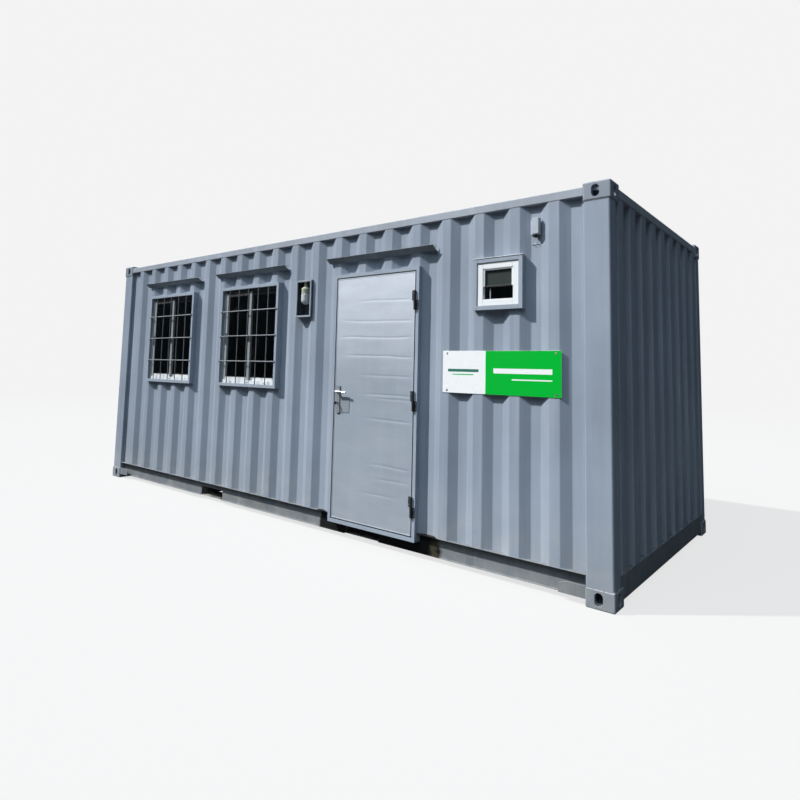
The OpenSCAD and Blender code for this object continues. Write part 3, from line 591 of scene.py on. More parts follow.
def rod(bm, points, radius, steps=8, index=0):
    """A round bar or wire along a line of points, with closed ends."""
    points = [Vector(p) for p in points]
    rings, side = [], None
    for i, p in enumerate(points):
        way = (points[min(i + 1, len(points) - 1)] - points[max(i - 1, 0)]).normalized()
        if side is None:
            side = way.orthogonal().normalized()
        side = (side - way * side.dot(way)).normalized()
        other = way.cross(side)
        rings.append([bm.verts.new(p + (side * math.cos(TAU * k / steps)
                                        + other * math.sin(TAU * k / steps)) * radius)
                      for k in range(steps)])
    made = [face for a, b in zip(rings, rings[1:]) for face in skin(bm, a, b)]
    made += [bm.faces.new(rings[0][::-1]), bm.faces.new(rings[-1])]
    for face in made:
        face.material_index = index
    bmesh.ops.recalc_face_normals(bm, faces=made)


# ---------------------------------------------------------------- repeats by geometry nodes

def tree_for(name, takes):
    """A geometry node tree with named inputs; returns it with its inputs' sockets."""
    tree = bpy.data.node_groups.new(name, "GeometryNodeTree")
    socket = tree.interface.new_socket
    socket("Geometry", in_out="INPUT", socket_type="NodeSocketGeometry")
    for label, value in takes.items():
        kind = "NodeSocketInt" if isinstance(value, int) else "NodeSocketFloat"
        socket(label, in_out="INPUT", socket_type=kind).default_value = value
    socket("Material", in_out="INPUT", socket_type="NodeSocketMaterial")
    socket("Geometry", in_out="OUTPUT", socket_type="NodeSocketGeometry")
    return tree, tree.nodes.new("NodeGroupInput").outputs


def close_tree(tree, given, geometry):
    real = add(tree, "GeometryNodeRealizeInstances", {"Geometry": geometry})
    final = add(tree, "GeometryNodeSetMaterial",
                {"Geometry": real.outputs[0], "Material": given["Material"]})
    fill(tree, tree.nodes.new("NodeGroupOutput"), {"Geometry": final.outputs[0]})
    return tree


def screw_tree():
    """A low domed head with a washer on each point, facing the way the point says."""
    tree, given = tree_for("screws", {"Head Radius": 0.006, "Head Height": 0.003, "Washer": 1.35,
                                      "Seed": 3})
    wide, tall = given["Head Radius"], given["Head Height"]
    washer = add(tree, "GeometryNodeMeshCylinder", {
        "Vertices": 14, "Radius": times(tree, wide, given["Washer"]), "Depth": times(tree, tall, 0.4)})
    head = add(tree, "GeometryNodeMeshCone", {
        "Vertices": 14, "Radius Top": times(tree, wide, 0.62), "Radius Bottom": wide, "Depth": tall})
    socket = add(tree, "GeometryNodeMeshCylinder", {
        "Vertices": 6, "Radius": times(tree, wide, 0.36), "Depth": times(tree, tall, 0.25)})
    lifted = add(tree, "GeometryNodeTransform", {
        "Geometry": socket.outputs["Mesh"], "Translation": joined(tree, Z=tall)})
    whole = add(tree, "GeometryNodeJoinGeometry")
    for part in (washer.outputs["Mesh"], head.outputs["Mesh"], lifted.outputs[0]):
        fill(tree, whole, {0: part})
    facing = add(tree, "GeometryNodeInputNamedAttribute", {"Name": "facing"}, data_type="FLOAT_VECTOR")
    turn = add(tree, "FunctionNodeAlignRotationToVector", {"Vector": facing.outputs["Attribute"]}, axis="Z")
    spin = add(tree, "FunctionNodeRandomValue", {2: 0.0, 3: 1.0, "Seed": given["Seed"]}, data_type="FLOAT")
    spun = add(tree, "FunctionNodeRotateRotation", {
        "Rotation": turn.outputs[0], "Rotate By": joined(tree, Z=spin.outputs[1])}, rotation_space="LOCAL")
    points = add(tree, "GeometryNodeMeshToPoints", {"Mesh": given["Geometry"]})
    heads = add(tree, "GeometryNodeInstanceOnPoints", {
        "Points": points.outputs[0], "Instance": whole.outputs[0], "Rotation": spun.outputs[0]})
    return close_tree(tree, given, heads.outputs[0])


def bead_tree():
    """Overlapping weld ripples along a path of edges."""
    tree, given = tree_for("weld_beads", {"Radius": 0.004, "Spacing": 0.004, "Seed": 5})
    path = add(tree, "GeometryNodeMeshToCurve", {"Mesh": given["Geometry"]})
    points = add(tree, "GeometryNodeCurveToPoints", {
        "Curve": path.outputs[0], "Length": given["Spacing"]}, mode="LENGTH")
    drop = add(tree, "GeometryNodeMeshIcoSphere", {"Radius": given["Radius"], "Subdivisions": 1})
    size = add(tree, "FunctionNodeRandomValue", {2: 0.78, 3: 1.15, "Seed": given["Seed"]},
               data_type="FLOAT").outputs[1]
    ripples = add(tree, "GeometryNodeInstanceOnPoints", {
        "Points": points.outputs["Points"], "Instance": drop.outputs["Mesh"],
        "Rotation": points.outputs["Rotation"], "Scale": joined(tree, X=size, Y=size, Z=0.9)})
    return close_tree(tree, given, ripples.outputs[0])


SCREWS = screw_tree()
BEADS = bead_tree()
FRONT = (0, -1, 0)                              # the way every screw faces


def grown(name, tree, mesh, inputs, body):
    """Runs a geometry node tree on a mesh and keeps the result as a plain piece."""
    seedling = placed(name + "_points", mesh)
    grow = seedling.modifiers.new("grow", "NODES")
    grow.node_group = tree
    sockets = {s.name: s.identifier for s in tree.interface.items_tree
               if s.item_type == "SOCKET" and s.in_out == "INPUT"}
    for label, value in inputs.items():
        grow[sockets[label]] = value
    seedling.update_tag()
    view = bpy.context.evaluated_depsgraph_get()
    done = bpy.data.meshes.new_from_object(
        seedling.evaluated_get(view), preserve_all_data_layers=True, depsgraph=view)
    seedling.modifiers.clear()
    bpy.data.objects.remove(seedling)
    done.name = name
    piece = placed(name, done)
    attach(piece, body)


def screws(name, places, radius, height, body="cabin", washer=1.0):
    mesh = bpy.data.meshes.new(name + "_points")
    mesh.from_pydata(places, [], [])
    facing = mesh.attributes.new("facing", "FLOAT_VECTOR", "POINT")
    facing.data.foreach_set("vector", FRONT * len(places))
    grown(name, SCREWS, mesh, {"Head Radius": radius, "Head Height": height, "Washer": washer,
                               "Material": SCREW_STEEL}, body)


def beads(name, paths, radius, spacing, mat, seed):
    verts, edges = [], []
    for path in paths:
        first = len(verts)
        verts += path
        edges += [(i, i + 1) for i in range(first, len(verts) - 1)]
    mesh = bpy.data.meshes.new(name + "_path")
    mesh.from_pydata(verts, edges, [])
    grown(name, BEADS, mesh, {"Radius": radius, "Spacing": spacing, "Seed": seed, "Material": mat},
          "cabin")


# ---------------------------------------------------------------- the steel shell

CASTING_ROUND = 0.010
POST_FACE, POST_SIDE = 0.172, 0.113             # how far the posts' two outer faces reach
CORNERS = [(sx, sy) for sx in (-1, 1) for sy in (-1, 1)]


def dress_castings():
    """Large rounds on the outer edges of the blocks, small ones on the others."""
    for node in ("bottom_castings", "top_castings"):
        low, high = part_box(node)

        def outer(edge):
            way = edge.verts[1].co - edge.verts[0].co
            on_box = all(any(min(abs(v.co[k] - low[k]), abs(v.co[k] - high[k])) < 1e-4 for k in range(3))
                         for v in edge.verts)
            return on_box and way.length > 0.10 and max(abs(c) for c in way) > 0.999 * way.length

        bm = rounded(merged(node), CASTING_ROUND, 4, 60, 120, outer)
        stand_in(node, rounded(bm, 0.003, 2, 60, 120), CASTING_PAINT)


def dress_sheets():
    """Folds along the corrugations are rounded; cut edges stay crisp."""
    for node in ("front_wall_left", "front_wall_lamp_bay", "front_wall_over_door", "front_wall_right",
                 "back_wall"):
        dressed(node, GREY_PAINT, 0.006, 3, 15, 60, along(2), 0.12)
    for node in ("left_end_wall", "right_end_wall"):
        dressed(node, GREY_PAINT, 0.006, 3, 40, 80, along(2), 0.12)
    dressed("roof_panel", GREY_PAINT, 0.005, 3, 30, 75, along(1), 0.12)


def dress_frame():
    dressed("corner_posts", GREY_PAINT, 0.0015, 2, 60, 120)
    for node in ("top_side_rails", "end_headers"):
        dressed(node, TOP_RAIL_PAINT, 0.0015, 2, 60, 120)
    dressed("bottom_rail_front", RAIL_PAINT, 0.0015, 2)
    for node in ("bottom_rail_back", "end_sills", "rail_gussets"):
        dressed(node, LOW_PAINT, 0.0015, 2)
    for node in ("forklift_pockets", "cross_members"):
        dressed(node, DARK_PAINT, 0.0012, 1)
    dressed("floor_boards", FLOOR_WOOD, 0.001, 1)
    for node in ("front_lining", "back_lining", "end_linings", "ceiling"):
        dressed(node, LINING_BOARD, 0.0008, 1)


def add_post_lips():
    """Narrow strips that cover the joint between the long walls and the posts, and their welds."""
    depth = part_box("corner_posts")[1].y
    wall_low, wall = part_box("back_wall")
    bm, paths = bmesh.new(), []
    for sx, sy in CORNERS:
        x = sorted((sx * (wall.x - 0.017), sx * (wall.x - 0.0004)))
        y = sorted((sy * (depth - 0.036), sy * (depth - 0.030)))
        block(bm, x, y, (wall_low.z + 0.001, wall.z - 0.001), 0.0015)
        x, y = sx * (wall.x - 0.0175), sy * (depth - 0.037)
        paths.append([(x, y, wall_low.z + 0.02), (x, y, wall.z - 0.02)])
    finish_mesh("post_lips", bm, "cabin", GREY_PAINT)
    beads("post_lip_welds", paths, 0.0030, 0.0045, GREY_PAINT, 8)


def add_casting_welds():
    """A bead where each post meets its castings, on the two outer faces."""
    low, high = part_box("corner_posts")
    paths = []
    for z in (low.z, high.z):
        for sx, sy in CORNERS:
            x, y = sx * high.x, sy * high.y
            paths.append([(x - sx * POST_FACE, y, z), (x - sx * 0.012, y, z),
                          (x - sx * 0.004, y - sy * 0.004, z), (x, y - sy * 0.012, z),
                          (x, y - sy * POST_SIDE, z)])
    beads("casting_welds", paths, 0.0036, 0.0052, CASTING_PAINT, 2)


dress_castings()
dress_sheets()
dress_frame()
add_post_lips()
add_casting_welds()


# ---------------------------------------------------------------- windows

STILE, SASH_LAP = 0.034, 0.018                  # a sash's members, and how far the two overlap
SASH_SETBACK = 0.020                            # from the front sash to the one behind it
SEAL = 0.006
FRAME_HEAD, SASH_HEAD = 0.0265, 0.0345          # height of the members at the top and bottom


def half(node, right):
    """Lowest and highest corner of the left or right one of a node's two copies."""
    low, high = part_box(node)
    middle = (low.x + high.x) / 2
    mine = [v.co for v in NODES[node].data.vertices if (v.co.x > middle) == bool(right)]
    return (Vector([min(p[k] for p in mine) for k in range(3)]),
            Vector([max(p[k] for p in mine) for k in range(3)]))


def dress_windows():
    dressed("window_casings", CASING_PAINT, 0.0018, 2)
    for node, width, head in (("window_frames", 0.0012, FRAME_HEAD), ("window_sashes", 0.0015, SASH_HEAD)):
        made = dressed(node, [ALUMINIUM, HEAD_PAINTED_SHADE, STILE_PAINTED_SHADE], width, 2)
        low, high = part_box(node)
        for face in made.data.polygons:
            z = face.center.z
            # top members take the near-black copy and uprights the darker copy, both painted shade; bottom
            # members keep the pale aluminium
            face.material_index = 1 if z > high.z - head else 0 if z < low.z + head else 2
    NODES["window_glass"].data.materials.clear()
    NODES["window_glass"].data.materials.append(WINDOW_GLASS)
    bars = dressed("window_grilles", [BAR_PAINTED_SHADE, LEVEL_BAR_PAINTED_LIGHT], 0.0008, 1, 80, 100)
    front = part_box("window_casings")[0].y
    for face in bars.data.polygons:
        # faces in front of the casing's face take the lighter copy, painted light; the others take the
        # darker copy, painted shade
        face.material_index = int(face.center.y < front)


def add_window_fittings():
    """Gaskets round the panes, the latch, pulls, drain slots, and the rails of the lower track."""
    seals, latches, tracks, places = bmesh.new(), bmesh.new(), bmesh.new(), []
    for right in (0, 1):
        low, high = half("window_sashes", right)
        outer_low, outer_high = half("window_frames", right)
        middle, y, foot = (low.x + high.x) / 2, outer_low.y, outer_low.z
        latch_z = (low.z + high.z) / 2 - 0.02
        for x0, x1, front, pull_x in (
            (low.x, middle + SASH_LAP, low.y, low.x + STILE / 2),
            (middle - SASH_LAP, high.x, low.y + SASH_SETBACK, high.x - STILE / 2),
        ):
            border(seals, (x0 + STILE, x1 - STILE), (front + 0.0035, front + 0.0085),
                   (low.z + STILE, high.z - STILE), SEAL, SEAL, SEAL, 0.001)
            block(latches, about(pull_x, 0.006), (front - 0.0095, front + 0.001), about(latch_z, 0.06),
                  0.003, 3)
        block(latches, about(middle, 0.013), (low.y - 0.006, low.y + 0.001), about(latch_z, 0.035),
              0.0025, 3)
        block(latches, about(middle, 0.005), (low.y - 0.017, low.y - 0.004),
              (latch_z - 0.004, latch_z + 0.028), 0.0025, 3)
        for back in (0.001, 0.021, 0.0405):
            block(tracks, (outer_low.x + 0.028, outer_high.x - 0.028), (y + back, y + back + 0.0018),
                  (foot + 0.0255, foot + 0.0335), 0.0005, 1)
        for x in spread(outer_low.x + 0.16, outer_high.x - 0.16, 3):
            block(seals, about(x, 0.015), (y - 0.0006, y + 0.001), (foot + 0.008, foot + 0.013), 0.0004, 1)
        places += [(x, y + 0.0002, z) for x in (outer_low.x + 0.013, outer_high.x - 0.013)
                   for z in spread(foot + 0.10, outer_high.z - 0.10, 3)]
    finish_mesh("window_seals", seals, "cabin", RUBBER_AND_GAP_SHADE)
    finish_mesh("window_latches", latches, "cabin", SATIN_STEEL)
    finish_mesh("window_tracks", tracks, "cabin", ALUMINIUM)
    screws("window_screws", places, 0.0036, 0.0016, washer=1.2)


def add_grille_welds():
    """A small bead where each bar meets the casing or another bar."""
    paths = []
    for right in (0, 1):
        low, high = half("window_grilles", right)
        casing_low, casing_high = half("window_casings", right)
        y = casing_low.y
        uprights = spread(casing_low.x, casing_high.x, 7)[1:-1]
        for z in spread(casing_low.z, casing_high.z, 5)[1:-1]:
            for x in (low.x + 0.006, high.x - 0.006):
                paths += [[(x - 0.004, y - 0.0012, z + dz), (x + 0.004, y - 0.0012, z + dz)]
                          for dz in (0.0052, -0.0052)]
            for x in uprights:
                paths += [[(x + dx, y - 0.0002, z - 0.003), (x + dx, y - 0.0002, z + 0.003)]
                          for dx in (-0.0045, 0.0045)]
        paths += [[(x + 0.0056 * math.cos(t * TAU / 10), y + 0.005 + 0.0056 * math.sin(t * TAU / 10), z)
                   for t in range(11)]
                  for x in uprights for z in (casing_low.z + 0.0312, casing_high.z - 0.0312)]
    beads("grille_welds", paths, 0.0021, 0.003, BAR_PAINTED_SHADE, 4)


# ---------------------------------------------------------------- vent and gutters

VENT_PULL = (2.186, 2.192)                      # the edge of the lower pane, along X
RIB_FIRST, RIB_PITCH = -2.485, 0.278            # hollows of the front wall
RIB_MOUTH, RIB_FLOOR, RIB_DEPTH = 0.103, 0.035, 0.036
CREST = 1.211                                   # from the middle to the face of the ribs


def dress_vent():
    """The upper pane sits in its own sash; the lower one slides behind it."""
    dressed("vent_casing", CASING_PAINT, 0.0018, 2)
    low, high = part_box("vent_glass")
    middle = (low.z + high.z) / 2
    split = min(v.co.z for v in NODES["vent_glass"].data.vertices if v.co.z > middle - 0.012) - 0.006
    outer = dressed("vent_frame", [WHITE_PLASTIC, RUBBER_AND_GAP_SHADE], 0.0025, 3)
    for face in outer.data.polygons:
        face.material_index = int(abs(face.center.z - split) < 0.012 and low.x < face.center.x < high.x)
    glass = dressed("vent_glass", [WINDOW_GLASS, VENT_GLASS], 0.0004, 1)
    for face in glass.data.polygons:
        face.material_index = int(face.center.z > split)
    member, head = 0.011, 0.008
    inner = (low.x + member, high.x - member)
    front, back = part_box("vent_frame")[0].y + 0.005, low.y - 0.0004
    sash, edge, seal = bmesh.new(), bmesh.new(), bmesh.new()
    border(sash, (low.x, high.x), (front, back), (split - 0.004, high.z), member, 0, head, 0.002, 2)
    casing_low, casing_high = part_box("vent_casing")
    block(sash, (casing_low.x - 0.010, casing_high.x + 0.002), (casing_low.y - 0.004, casing_low.y + 0.030),
          (casing_high.z + 0.0005, casing_high.z + 0.0045), 0.001, 1)
    finish_mesh("vent_sash", sash, "cabin", WHITE_PLASTIC)
    block(edge, inner, (back - 0.005, back), (split - 0.001, split + 0.004), 0.001, 1)
    block(edge, VENT_PULL, (low.y + 0.007, low.y + 0.0135), (low.z + 0.005, split - 0.011), 0.001, 1)
    finish_mesh("vent_glass_edges", edge, "cabin", GREY_PLASTIC)
    border(seal, (low.x, high.x), (low.y + 0.0095, low.y + 0.0137), (low.z, split - 0.006),
           0.004, 0.004, 0, 0.001)
    finish_mesh("vent_seals", seal, "cabin", RUBBER_AND_GAP_SHADE)


def gutter_spans():
    """From, to and height of each gutter, read from its corners."""
    points = [v.co for v in NODES["rain_gutters"].data.vertices]
    ends = sorted({round(p.x, 4) for p in points})
    return [(x0, x1, min(p.z for p in points if abs(p.x - x0) < 1e-3))
            for x0, x1 in zip(ends[::2], ends[1::2])]


def add_gutter_closers():
    """Plates that close the hollows of the wall behind each gutter, so no rain runs past."""
    bm = bmesh.new()
    for x0, x1, z in gutter_spans():
        k = math.ceil((x0 - RIB_FIRST) / RIB_PITCH - 0.5)
        while RIB_FIRST + k * RIB_PITCH < x1 + 0.10:
            middle = RIB_FIRST + k * RIB_PITCH
            outline = [(min(max(middle + dx, x0), x1), y) for dx, y in (
                (-RIB_MOUTH, -CREST), (-RIB_FLOOR, RIB_DEPTH - CREST),
                (RIB_FLOOR, RIB_DEPTH - CREST), (RIB_MOUTH, -CREST))]
            if outline[-1][0] - outline[0][0] > 0.02:
                bottom, top = ([bm.verts.new((x, y, z + rise)) for x, y in outline]
                               for rise in (0.001, 0.004))
                bm.faces.new(bottom[::-1])
                bm.faces.new(top)
                skin(bm, bottom, top)
            k += 1
    bmesh.ops.recalc_face_normals(bm, faces=bm.faces)
    finish_mesh("gutter_closers", bm, "cabin", GUTTER_PAINT)


dress_windows()
add_window_fittings()
add_grille_welds()
dress_vent()
dressed("rain_gutters", GUTTER_PAINT, 0.0008, 2)
add_gutter_closers()


# ---------------------------------------------------------------- lamp

JAR_WALL, JAR_FLUTES = 0.003, 24
KNURLS = 16
BULB = ((0.012, 0.023), (0.0125, 0.029), (0.016, 0.037), (0.0235, 0.051), (0.0265, 0.063),
        (0.0245, 0.075), (0.017, 0.084), (0.008, 0.088), (0, 0.089))
BULB_CAP = ((0, 0.001), (0.011, 0.001), (0.0125, 0.004), (0.0125, 0.007), (0.0115, 0.009),
            (0.0125, 0.011), (0.0115, 0.014), (0.0125, 0.017), (0.012, 0.023))


def dress_lamp_base(low, high, x, y):
    """A ribbed collar under a narrow neck, with a knurled band."""
    r, tall = (high.x - low.x) / 2, high.z - low.z
    base = bmesh.new()
    profile = [(0, 0.0), (r - 0.004, 0.0), (r, 0.003)]
    for z in spread(0.007, 0.031, 5):
        profile += [(r, z), (r - 0.0022, z + 0.0015), (r - 0.0022, z + 0.0035), (r, z + 0.005)]
    profile += [(r, 0.044), (r - 0.006, 0.052), (0.026, 0.056), (0.0205, 0.060), (0.0205, tall - 0.006),
                (0.024, tall - 0.005), (0.024, tall), (0, tall)]
    lathe(base, profile, (x, y, low.z), steps=40)
    for k in range(KNURLS):
        angle, out = TAU * k / KNURLS, r + 0.0004
        block(base, about(x + out * math.cos(angle), 0.0016), about(y + out * math.sin(angle), 0.0016),
              (low.z + 0.038, low.z + 0.045), 0.0008, 1)
    stand_in("lamp_base", base, LAMP_PLASTIC)


def dress_lamp_jar(x, y):
    """A round-ended jar, faintly fluted, with a bulb in it."""
    low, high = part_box("lamp_jar")
    r, tall = (high.x - low.x) / 2, high.z - low.z
    outer = [(r * math.sin(math.radians(a)), r - r * math.cos(math.radians(a))) for a in range(0, 91, 9)]
    outer += [(r, tall - 0.012), (r - 0.0015, tall - 0.010), (r - 0.0015, tall - 0.003), (r - 0.003, tall)]
    inner = [(max(0.0, q - JAR_WALL), max(JAR_WALL, z)) for q, z in reversed(outer)]
    inner[0], inner[-1] = (r - 0.006, tall), (0, JAR_WALL)
    jar, bulb = bmesh.new(), bmesh.new()
    lathe(jar, outer + inner, (x, y, low.z))
    for vert in jar.verts:
        out = Vector((vert.co.x - x, vert.co.y - y))
        if out.length > r - 0.0012 and vert.co.z < low.z + tall - 0.014:
            pull = 1 - 0.00045 * (1 + math.cos(JAR_FLUTES * math.atan2(out.y, out.x))) / r
            vert.co.x, vert.co.y = x + out.x * pull, y + out.y * pull
    stand_in("lamp_jar", jar, CLEAR_GLASS, weighted=False)
    for index, profile in ((1, BULB_CAP), (0, BULB)):
        lathe(bulb, [(q, tall - drop) for q, drop in profile], (x, y, low.z), steps=28, index=index)
    finish_mesh("lamp_bulb", bulb, "cabin", [WHITE_PLASTIC, SATIN_STEEL], weighted=False)


def dress_lamp():
    recess = dressed("lamp_recess", [CASING_PAINT, RECESS_PAINTED_SHADE], 0.0012, 2)
    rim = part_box("lamp_recess")[0]
    for face in recess.data.polygons:
        # inner faces of the recess take the near-black paint, as painted shade
        face.material_index = int(face.center.y > rim.y + 0.011 and face.center.z > rim.z + 0.018)
    low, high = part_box("lamp_base")
    x, y = (low.x + high.x) / 2, (low.y + high.y) / 2
    dress_lamp_base(low, high, x, y)
    dress_lamp_jar(x, y)
    rose = bmesh.new()
    lathe(rose, [(0.030, 0.0), (0.030, 0.004), (0.026, 0.006), (0.0245, 0.006)],
          (x, y, high.z - 0.0065), steps=32)
    finish_mesh("lamp_rose", rose, "cabin", LAMP_PLASTIC)


# ---------------------------------------------------------------- sign and socket box

SIGN_SPLIT = 0.392                              # share of the board that is white
BOX_WIDE, BOX_TALL, BOX_DEEP = 0.050, 0.112, 0.038
LID = 0.0112


def dress_sign():
    """Two plain panels of colour with plain bars, no lettering."""
    low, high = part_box("sign_board")
    split = low.x + (high.x - low.x) * SIGN_SPLIT
    middle = low.z + (high.z - low.z) * 0.53
    board = bmesh.new()
    block(board, (low.x, high.x), (low.y + 0.0006, high.y), (low.z, high.z), 0.0006, 1)
    for x, index in (((low.x + 0.0006, split), 0), ((split, high.x - 0.0006), 1)):
        block(board, x, (low.y + 0.0001, low.y + 0.0012), (low.z + 0.0006, high.z - 0.0006), index=index)
    for x, z0, z1, index in (
        ((low.x + 0.045, split - 0.055), -0.008, 0.012, 2),
        ((low.x + 0.085, split - 0.095), -0.030, -0.023, 1),
        ((split + 0.062, high.x - 0.062), -0.014, 0.020, 0),
        ((split + 0.200, high.x - 0.062), -0.058, -0.050, 0),
    ):
        block(board, x, (low.y - 0.0003, low.y + 0.001), (middle + z0, middle + z1), 0.0002, 1, index)
    stand_in("sign_board", board, [SIGN_WHITE, SIGN_GREEN, SIGN_DARK])
    places = [(x, low.y, z) for x in (low.x + 0.037, high.x - 0.037)
              for z in (low.z + 0.018, high.z - 0.018)]
    screws("sign_screws", places, 0.0062, 0.0030, washer=1.35)


def dress_socket_box():
    """A box with a lid, two lugs and a cable gland, on a plate with a foot and two hooks."""
    low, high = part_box("socket_box")
    foot, left, right = low.z, low.x + 0.010, low.x + 0.010 + BOX_WIDE
    box_low, back = high.z - BOX_TALL, low.y + BOX_DEEP
    bm = bmesh.new()
    block(bm, (left, right), (low.y + 0.012, back), (box_low, high.z), 0.003, 3)
    block(bm, (left + 0.0015, right - 0.0015), (low.y, low.y + LID), (box_low + 0.0015, high.z - 0.0015),
          0.003, 3)
    for z in (box_low + 0.020, high.z - 0.036):
        block(bm, (left - 0.003, left + 0.002), (low.y + 0.010, low.y + 0.016), (z, z + 0.016), 0.001)
    plate_x, foot_x, foot_half = low.x + 0.004, low.x + 0.017, 0.030
    block(bm, about(plate_x, 0.018), (back, high.y), (box_low + 0.006, high.z - 0.006), 0.001, 1)
    block(bm, about(foot_x, foot_half), (high.y - 0.003, high.y), (foot, foot + 0.010), 0.001, 1)
    for x in about(foot_x, foot_half - 0.014):
        rod(bm, [(x, high.y - 0.001, foot + 0.005), (x, high.y - 0.012, foot + 0.004),
                 (x, high.y - 0.018, foot + 0.006), (x, high.y - 0.019, foot + 0.010)], 0.0016, index=1)
    lathe(bm, [(0, -0.020), (0.005, -0.020), (0.007, -0.018), (0.0075, -0.006), (0.0095, -0.005),
               (0.0095, 0.0), (0, 0.0)], (low.x + 0.030, low.y + 0.025, box_low + 0.0005),
          steps=20, index=1)
    stand_in("socket_box", bm, [GREY_PLASTIC, RUBBER_AND_GAP_SHADE])
    screws("socket_screws", [(low.x + dx, low.y, z) for dx in (0.018, 0.052)
                             for z in (box_low + 0.009, high.z - 0.009)], 0.0030, 0.0012)


# ---------------------------------------------------------------- door

CREASES = (  # height, depth in mm, from and to as shares of the width
    (1.930, 0.9, 0.25, 1.0), (1.770, 1.0, 0.05, 1.0), (1.634, 1.2, 0.0, 0.95), (1.486, 1.2, 0.1, 1.0),
    (1.330, 0.9, 0.3, 1.0), (1.180, 1.1, 0.35, 1.0), (1.150, 0.9, 0.5, 1.0), (0.990, 1.1, 0.4, 1.0),
    (0.640, 1.0, 0.45, 1.0), (0.534, 0.9, 0.5, 0.95), (0.410, 0.8, 0.35, 0.8),
)
SKIN_STEPS = (44, 330)                          # how finely the door's skin is divided
SKIN_EDGE = 0.010                               # flat margin round the dented part
TAG_X, TAG_Z = (0.806, 0.912), (1.020, 1.150)


def dent(x, z):
    """How far the door's skin is pushed in at x (0 to 1) and height z, in metres."""
    push = 0.0
    for height, deep, start, end in CREASES:
        line = height + 0.010 * noise.noise(Vector((x * 3.1, height * 7.0, 0.0))) - 0.014 * (x - 0.5)
        fade = min(1.0, max(0.0, (x - start) / 0.18)) * min(1.0, max(0.0, (end - x) / 0.10 + 0.35))
        off, wide_off = (z - line) / 0.0065, (z - line + 0.022) / 0.030
        push += deep * 0.0022 * fade * math.exp(-off * off)
        push -= deep * 0.0007 * fade * math.exp(-wide_off * wide_off)
    push += 0.0011 * noise.noise(Vector((x * 2.6, z * 1.9, 4.2)))
    return push + 0.0004 * noise.noise(Vector((x * 9.0, z * 8.0, 1.7)))


def dress_door_leaf():
    """A dented skin inside a flat margin, with rounded edges down to the flat inner face."""
    low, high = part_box("door_leaf")
    x0, x1, z0, z1 = low.x + SKIN_EDGE, high.x - SKIN_EDGE, low.z + SKIN_EDGE, high.z - SKIN_EDGE
    bm = bmesh.new()
    rows = []
    for z in spread(z0, z1, SKIN_STEPS[1] + 1):
        row = []
        for x in spread(x0, x1, SKIN_STEPS[0] + 1):
            rim = max(0.0, min(1.0, min(x - x0, x1 - x, z - z0, z1 - z) / 0.05))
            push = dent((x - low.x) / (high.x - low.x), z) * rim
            row.append(bm.verts.new((x, low.y + 0.0022 + max(-0.0020, push), z)))
        rows.append(row)
    for a, b in zip(rows, rows[1:]):
        for i in range(SKIN_STEPS[0]):
            bm.faces.new((a[i], a[i + 1], b[i + 1], b[i]))
    loop = rows[0] + [r[-1] for r in rows[1:]] + rows[-1][-2::-1] + [r[0] for r in rows[-2:0:-1]]
    rings = [loop]
    for inset, y in ((0.0080, low.y), (0.0030, low.y), (0.0012, low.y + 0.0006), (0.0, low.y + 0.003),
                     (0.0, high.y - 0.002), (0.0012, high.y)):
        ring = []
        for v in loop:
            x, _, z = v.co
            x = low.x + inset if x < x0 + 1e-6 else high.x - inset if x > x1 - 1e-6 else x
            z = low.z + inset if z < z0 + 1e-6 else high.z - inset if z > z1 - 1e-6 else z
            ring.append(bm.verts.new((x, y, z)))
        rings.append(ring)
    # the leaf's sides and a front rim about 3 mm wide take the black rubber: painted shade for the gap
    # round the door
    for step, (a, b) in enumerate(zip(rings, rings[1:])):
        for face in skin(bm, a, b):
            face.material_index = int(step > 1)
    bm.faces.new(rings[-1])
    bmesh.ops.recalc_face_normals(bm, faces=bm.faces)
    stand_in("door_leaf", bm, [DOOR_PAINT, RUBBER_AND_GAP_SHADE])


def dress_door():
    dress_door_leaf()
    low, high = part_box("door_leaf")
    seal, tag = bmesh.new(), bmesh.new()
    # a black strip behind the leaf, seen through the gap round the door: a seal and painted shade for the
    # gap
    border(seal, (low.x + 0.003, high.x - 0.003), (high.y + 0.0005, high.y + 0.0053),
           (low.z + 0.003, high.z - 0.003), 0.009, 0.009, 0.009, 0.0018, 2)
    finish_mesh("door_seal_and_gap_shade", seal, "door", RUBBER_AND_GAP_SHADE)
    block(tag, TAG_X, (low.y - 0.0012, low.y + 0.0014), TAG_Z, 0.0009)
    finish_mesh("door_tag", tag, "door", TAG_PAINT)
    screws("door_tag_screws", [(x, low.y - 0.0012, z) for x in (TAG_X[0] + 0.008, TAG_X[1] - 0.008)
                               for z in (TAG_Z[0] + 0.008, TAG_Z[1] - 0.008)], 0.0026, 0.0014, "door")


# ---------------------------------------------------------------- lock, hinges and door frame

LEVER_SIDES, LEVER_STEPS = 20, 19
SPINDLE_R = 0.0078
KEY_DROP = 0.092                                # from the spindle down to the keyhole
KEY_RING_R = 0.0125
BARREL_INSET = 0.030                            # from the end of the frame's wings to the hinge pins
WING_SCREWS = (0.016, 0.058)


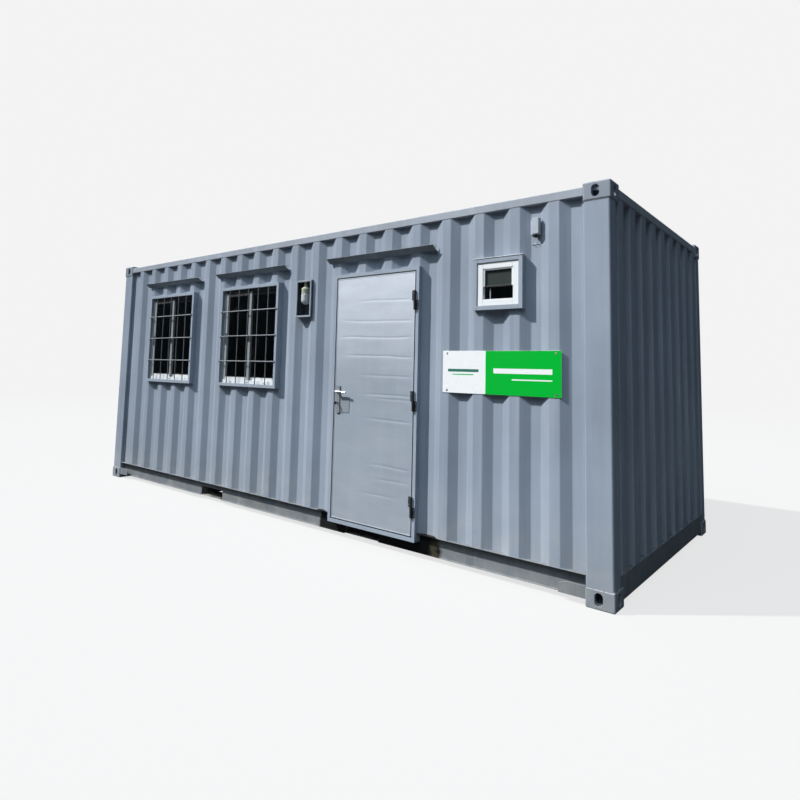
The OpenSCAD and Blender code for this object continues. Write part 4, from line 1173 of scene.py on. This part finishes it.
def shape_lever(bm, low, high, x, z):
    """Two slightly bowed round grips that taper to domed ends, and the spindle between them."""
    r = (high.z - low.z) / 2
    for y, way_out in ((low.y + r, 1), (high.y - r, -1)):
        rings = []
        for t in spread(0.0, 1.0, LEVER_STEPS):
            size = r * (0.98 - 0.16 * t + 0.05 * math.sin(math.pi * t))
            px, pz = x + t * (high.x - low.x - 2 * r), z - 0.0035 * t * t
            py = y + way_out * 0.002 * math.sin(math.pi * t)
            angles = [TAU * k / LEVER_SIDES for k in range(LEVER_SIDES)]
            rings.append([bm.verts.new((px, py + size * 0.92 * math.cos(a), pz + size * math.sin(a)))
                          for a in angles])
        for cap, way in ((rings[0], -1), (rings[-1], 1)):
            centre = sum((v.co for v in cap), Vector()) / LEVER_SIDES
            last, size = cap, (cap[5].co - centre).length
            for step in (30, 55, 75):
                c, h = math.cos(math.radians(step)), math.sin(math.radians(step))
                ring = [bm.verts.new(centre + (v.co - centre) * c + Vector((way * size * h, 0, 0)))
                        for v in cap]
                skin(bm, last, ring)
                last = ring
            bm.faces.new(last)
        for a, b in zip(rings, rings[1:]):
            skin(bm, a, b)
    reach = (high.y - low.y) / 2 - r
    lathe(bm, [(0, -reach), (SPINDLE_R, -reach), (SPINDLE_R, reach), (0, reach)],
          (x, (high.y + low.y) / 2, z), "Y", 28)
    bmesh.ops.recalc_face_normals(bm, faces=bm.faces)


def dress_lock():
    dressed("lock_plates", PLATE_STEEL, 0.0022, 3)
    # the hinges take the near-black steel as painted shade
    for node in ("leaf_hinges", "frame_hinges"):
        dressed(node, DARK_STEEL_AND_HINGE_SHADE, 0.0010, 2)
    low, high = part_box("lever_handle")
    x, z = low.x + 0.009, (low.z + high.z) / 2
    plate_low, plate_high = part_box("lock_plates")
    lever, roses, key = bmesh.new(), bmesh.new(), bmesh.new()
    shape_lever(lever, low, high, x, z)
    stand_in("lever_handle", lever, SATIN_STEEL)
    for y, s in ((plate_low.y + 0.005, -1), (plate_high.y - 0.005, 1)):
        lathe(roses, [(0.0095, 0.0), (0.0165, 0.0), (0.0165, s * -0.003), (0.0145, s * -0.0045),
                      (0.0095, s * -0.0045), (0.0095, 0.0)], (x, y, z), "Y", 32)
    finish_mesh("lever_roses", roses, "door", PLATE_STEEL)
    screws("lock_screws", [(x, plate_low.y + 0.005, at)
                           for at in (plate_low.z + 0.012, plate_high.z - 0.012)],
           0.0036, 0.0016, "door")
    hole_z, y = z - KEY_DROP, plate_low.y
    lathe(key, [(0, 0.0), (0.0070, 0.0), (0.0070, 0.0014), (0.0058, 0.0020), (0, 0.0020)],
          (x, y + 0.0002, hole_z), "Y", 24)
    block(key, about(x, 0.0012), (y - 0.012, y + 0.001), about(hole_z, 0.0042), 0.0005, 1)
    block(key, about(x, 0.0014), (y - 0.030, y - 0.011), about(hole_z, 0.0115), 0.0010)
    rod(key, [(x + KEY_RING_R * math.sin(t * TAU / 24), y - 0.026,
               hole_z - 0.0165 + KEY_RING_R * math.cos(t * TAU / 24)) for t in range(25)], 0.0009)
    finish_mesh("door_key", key, "door", DARK_STEEL_AND_HINGE_SHADE)


def dress_door_frame():
    """The folded frame, and two screws through each hinge's wings."""
    dressed("door_frame", CASING_PAINT, 0.0020, 2)
    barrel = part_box("frame_hinges")[1].x - BARREL_INSET
    for node, side in (("frame_hinges", 1), ("leaf_hinges", -1)):
        points = [v.co for v in NODES[node].data.vertices]
        front = min(p.y for p in points if side * (p.x - barrel) > 0.02)
        levels = sorted({round(p.z, 3) for p in points})
        feet = levels[:1] + [b for a, b in zip(levels, levels[1:]) if b - a > 0.3]
        screws(node + "_screws", [(barrel + side * 0.020, front, foot + rise) for foot in feet
                                  for rise in WING_SCREWS], 0.0030, 0.0012, BODY_OF[node])


dress_lamp()
dress_sign()
dress_socket_box()
dress_door()
dress_lock()
dress_door_frame()
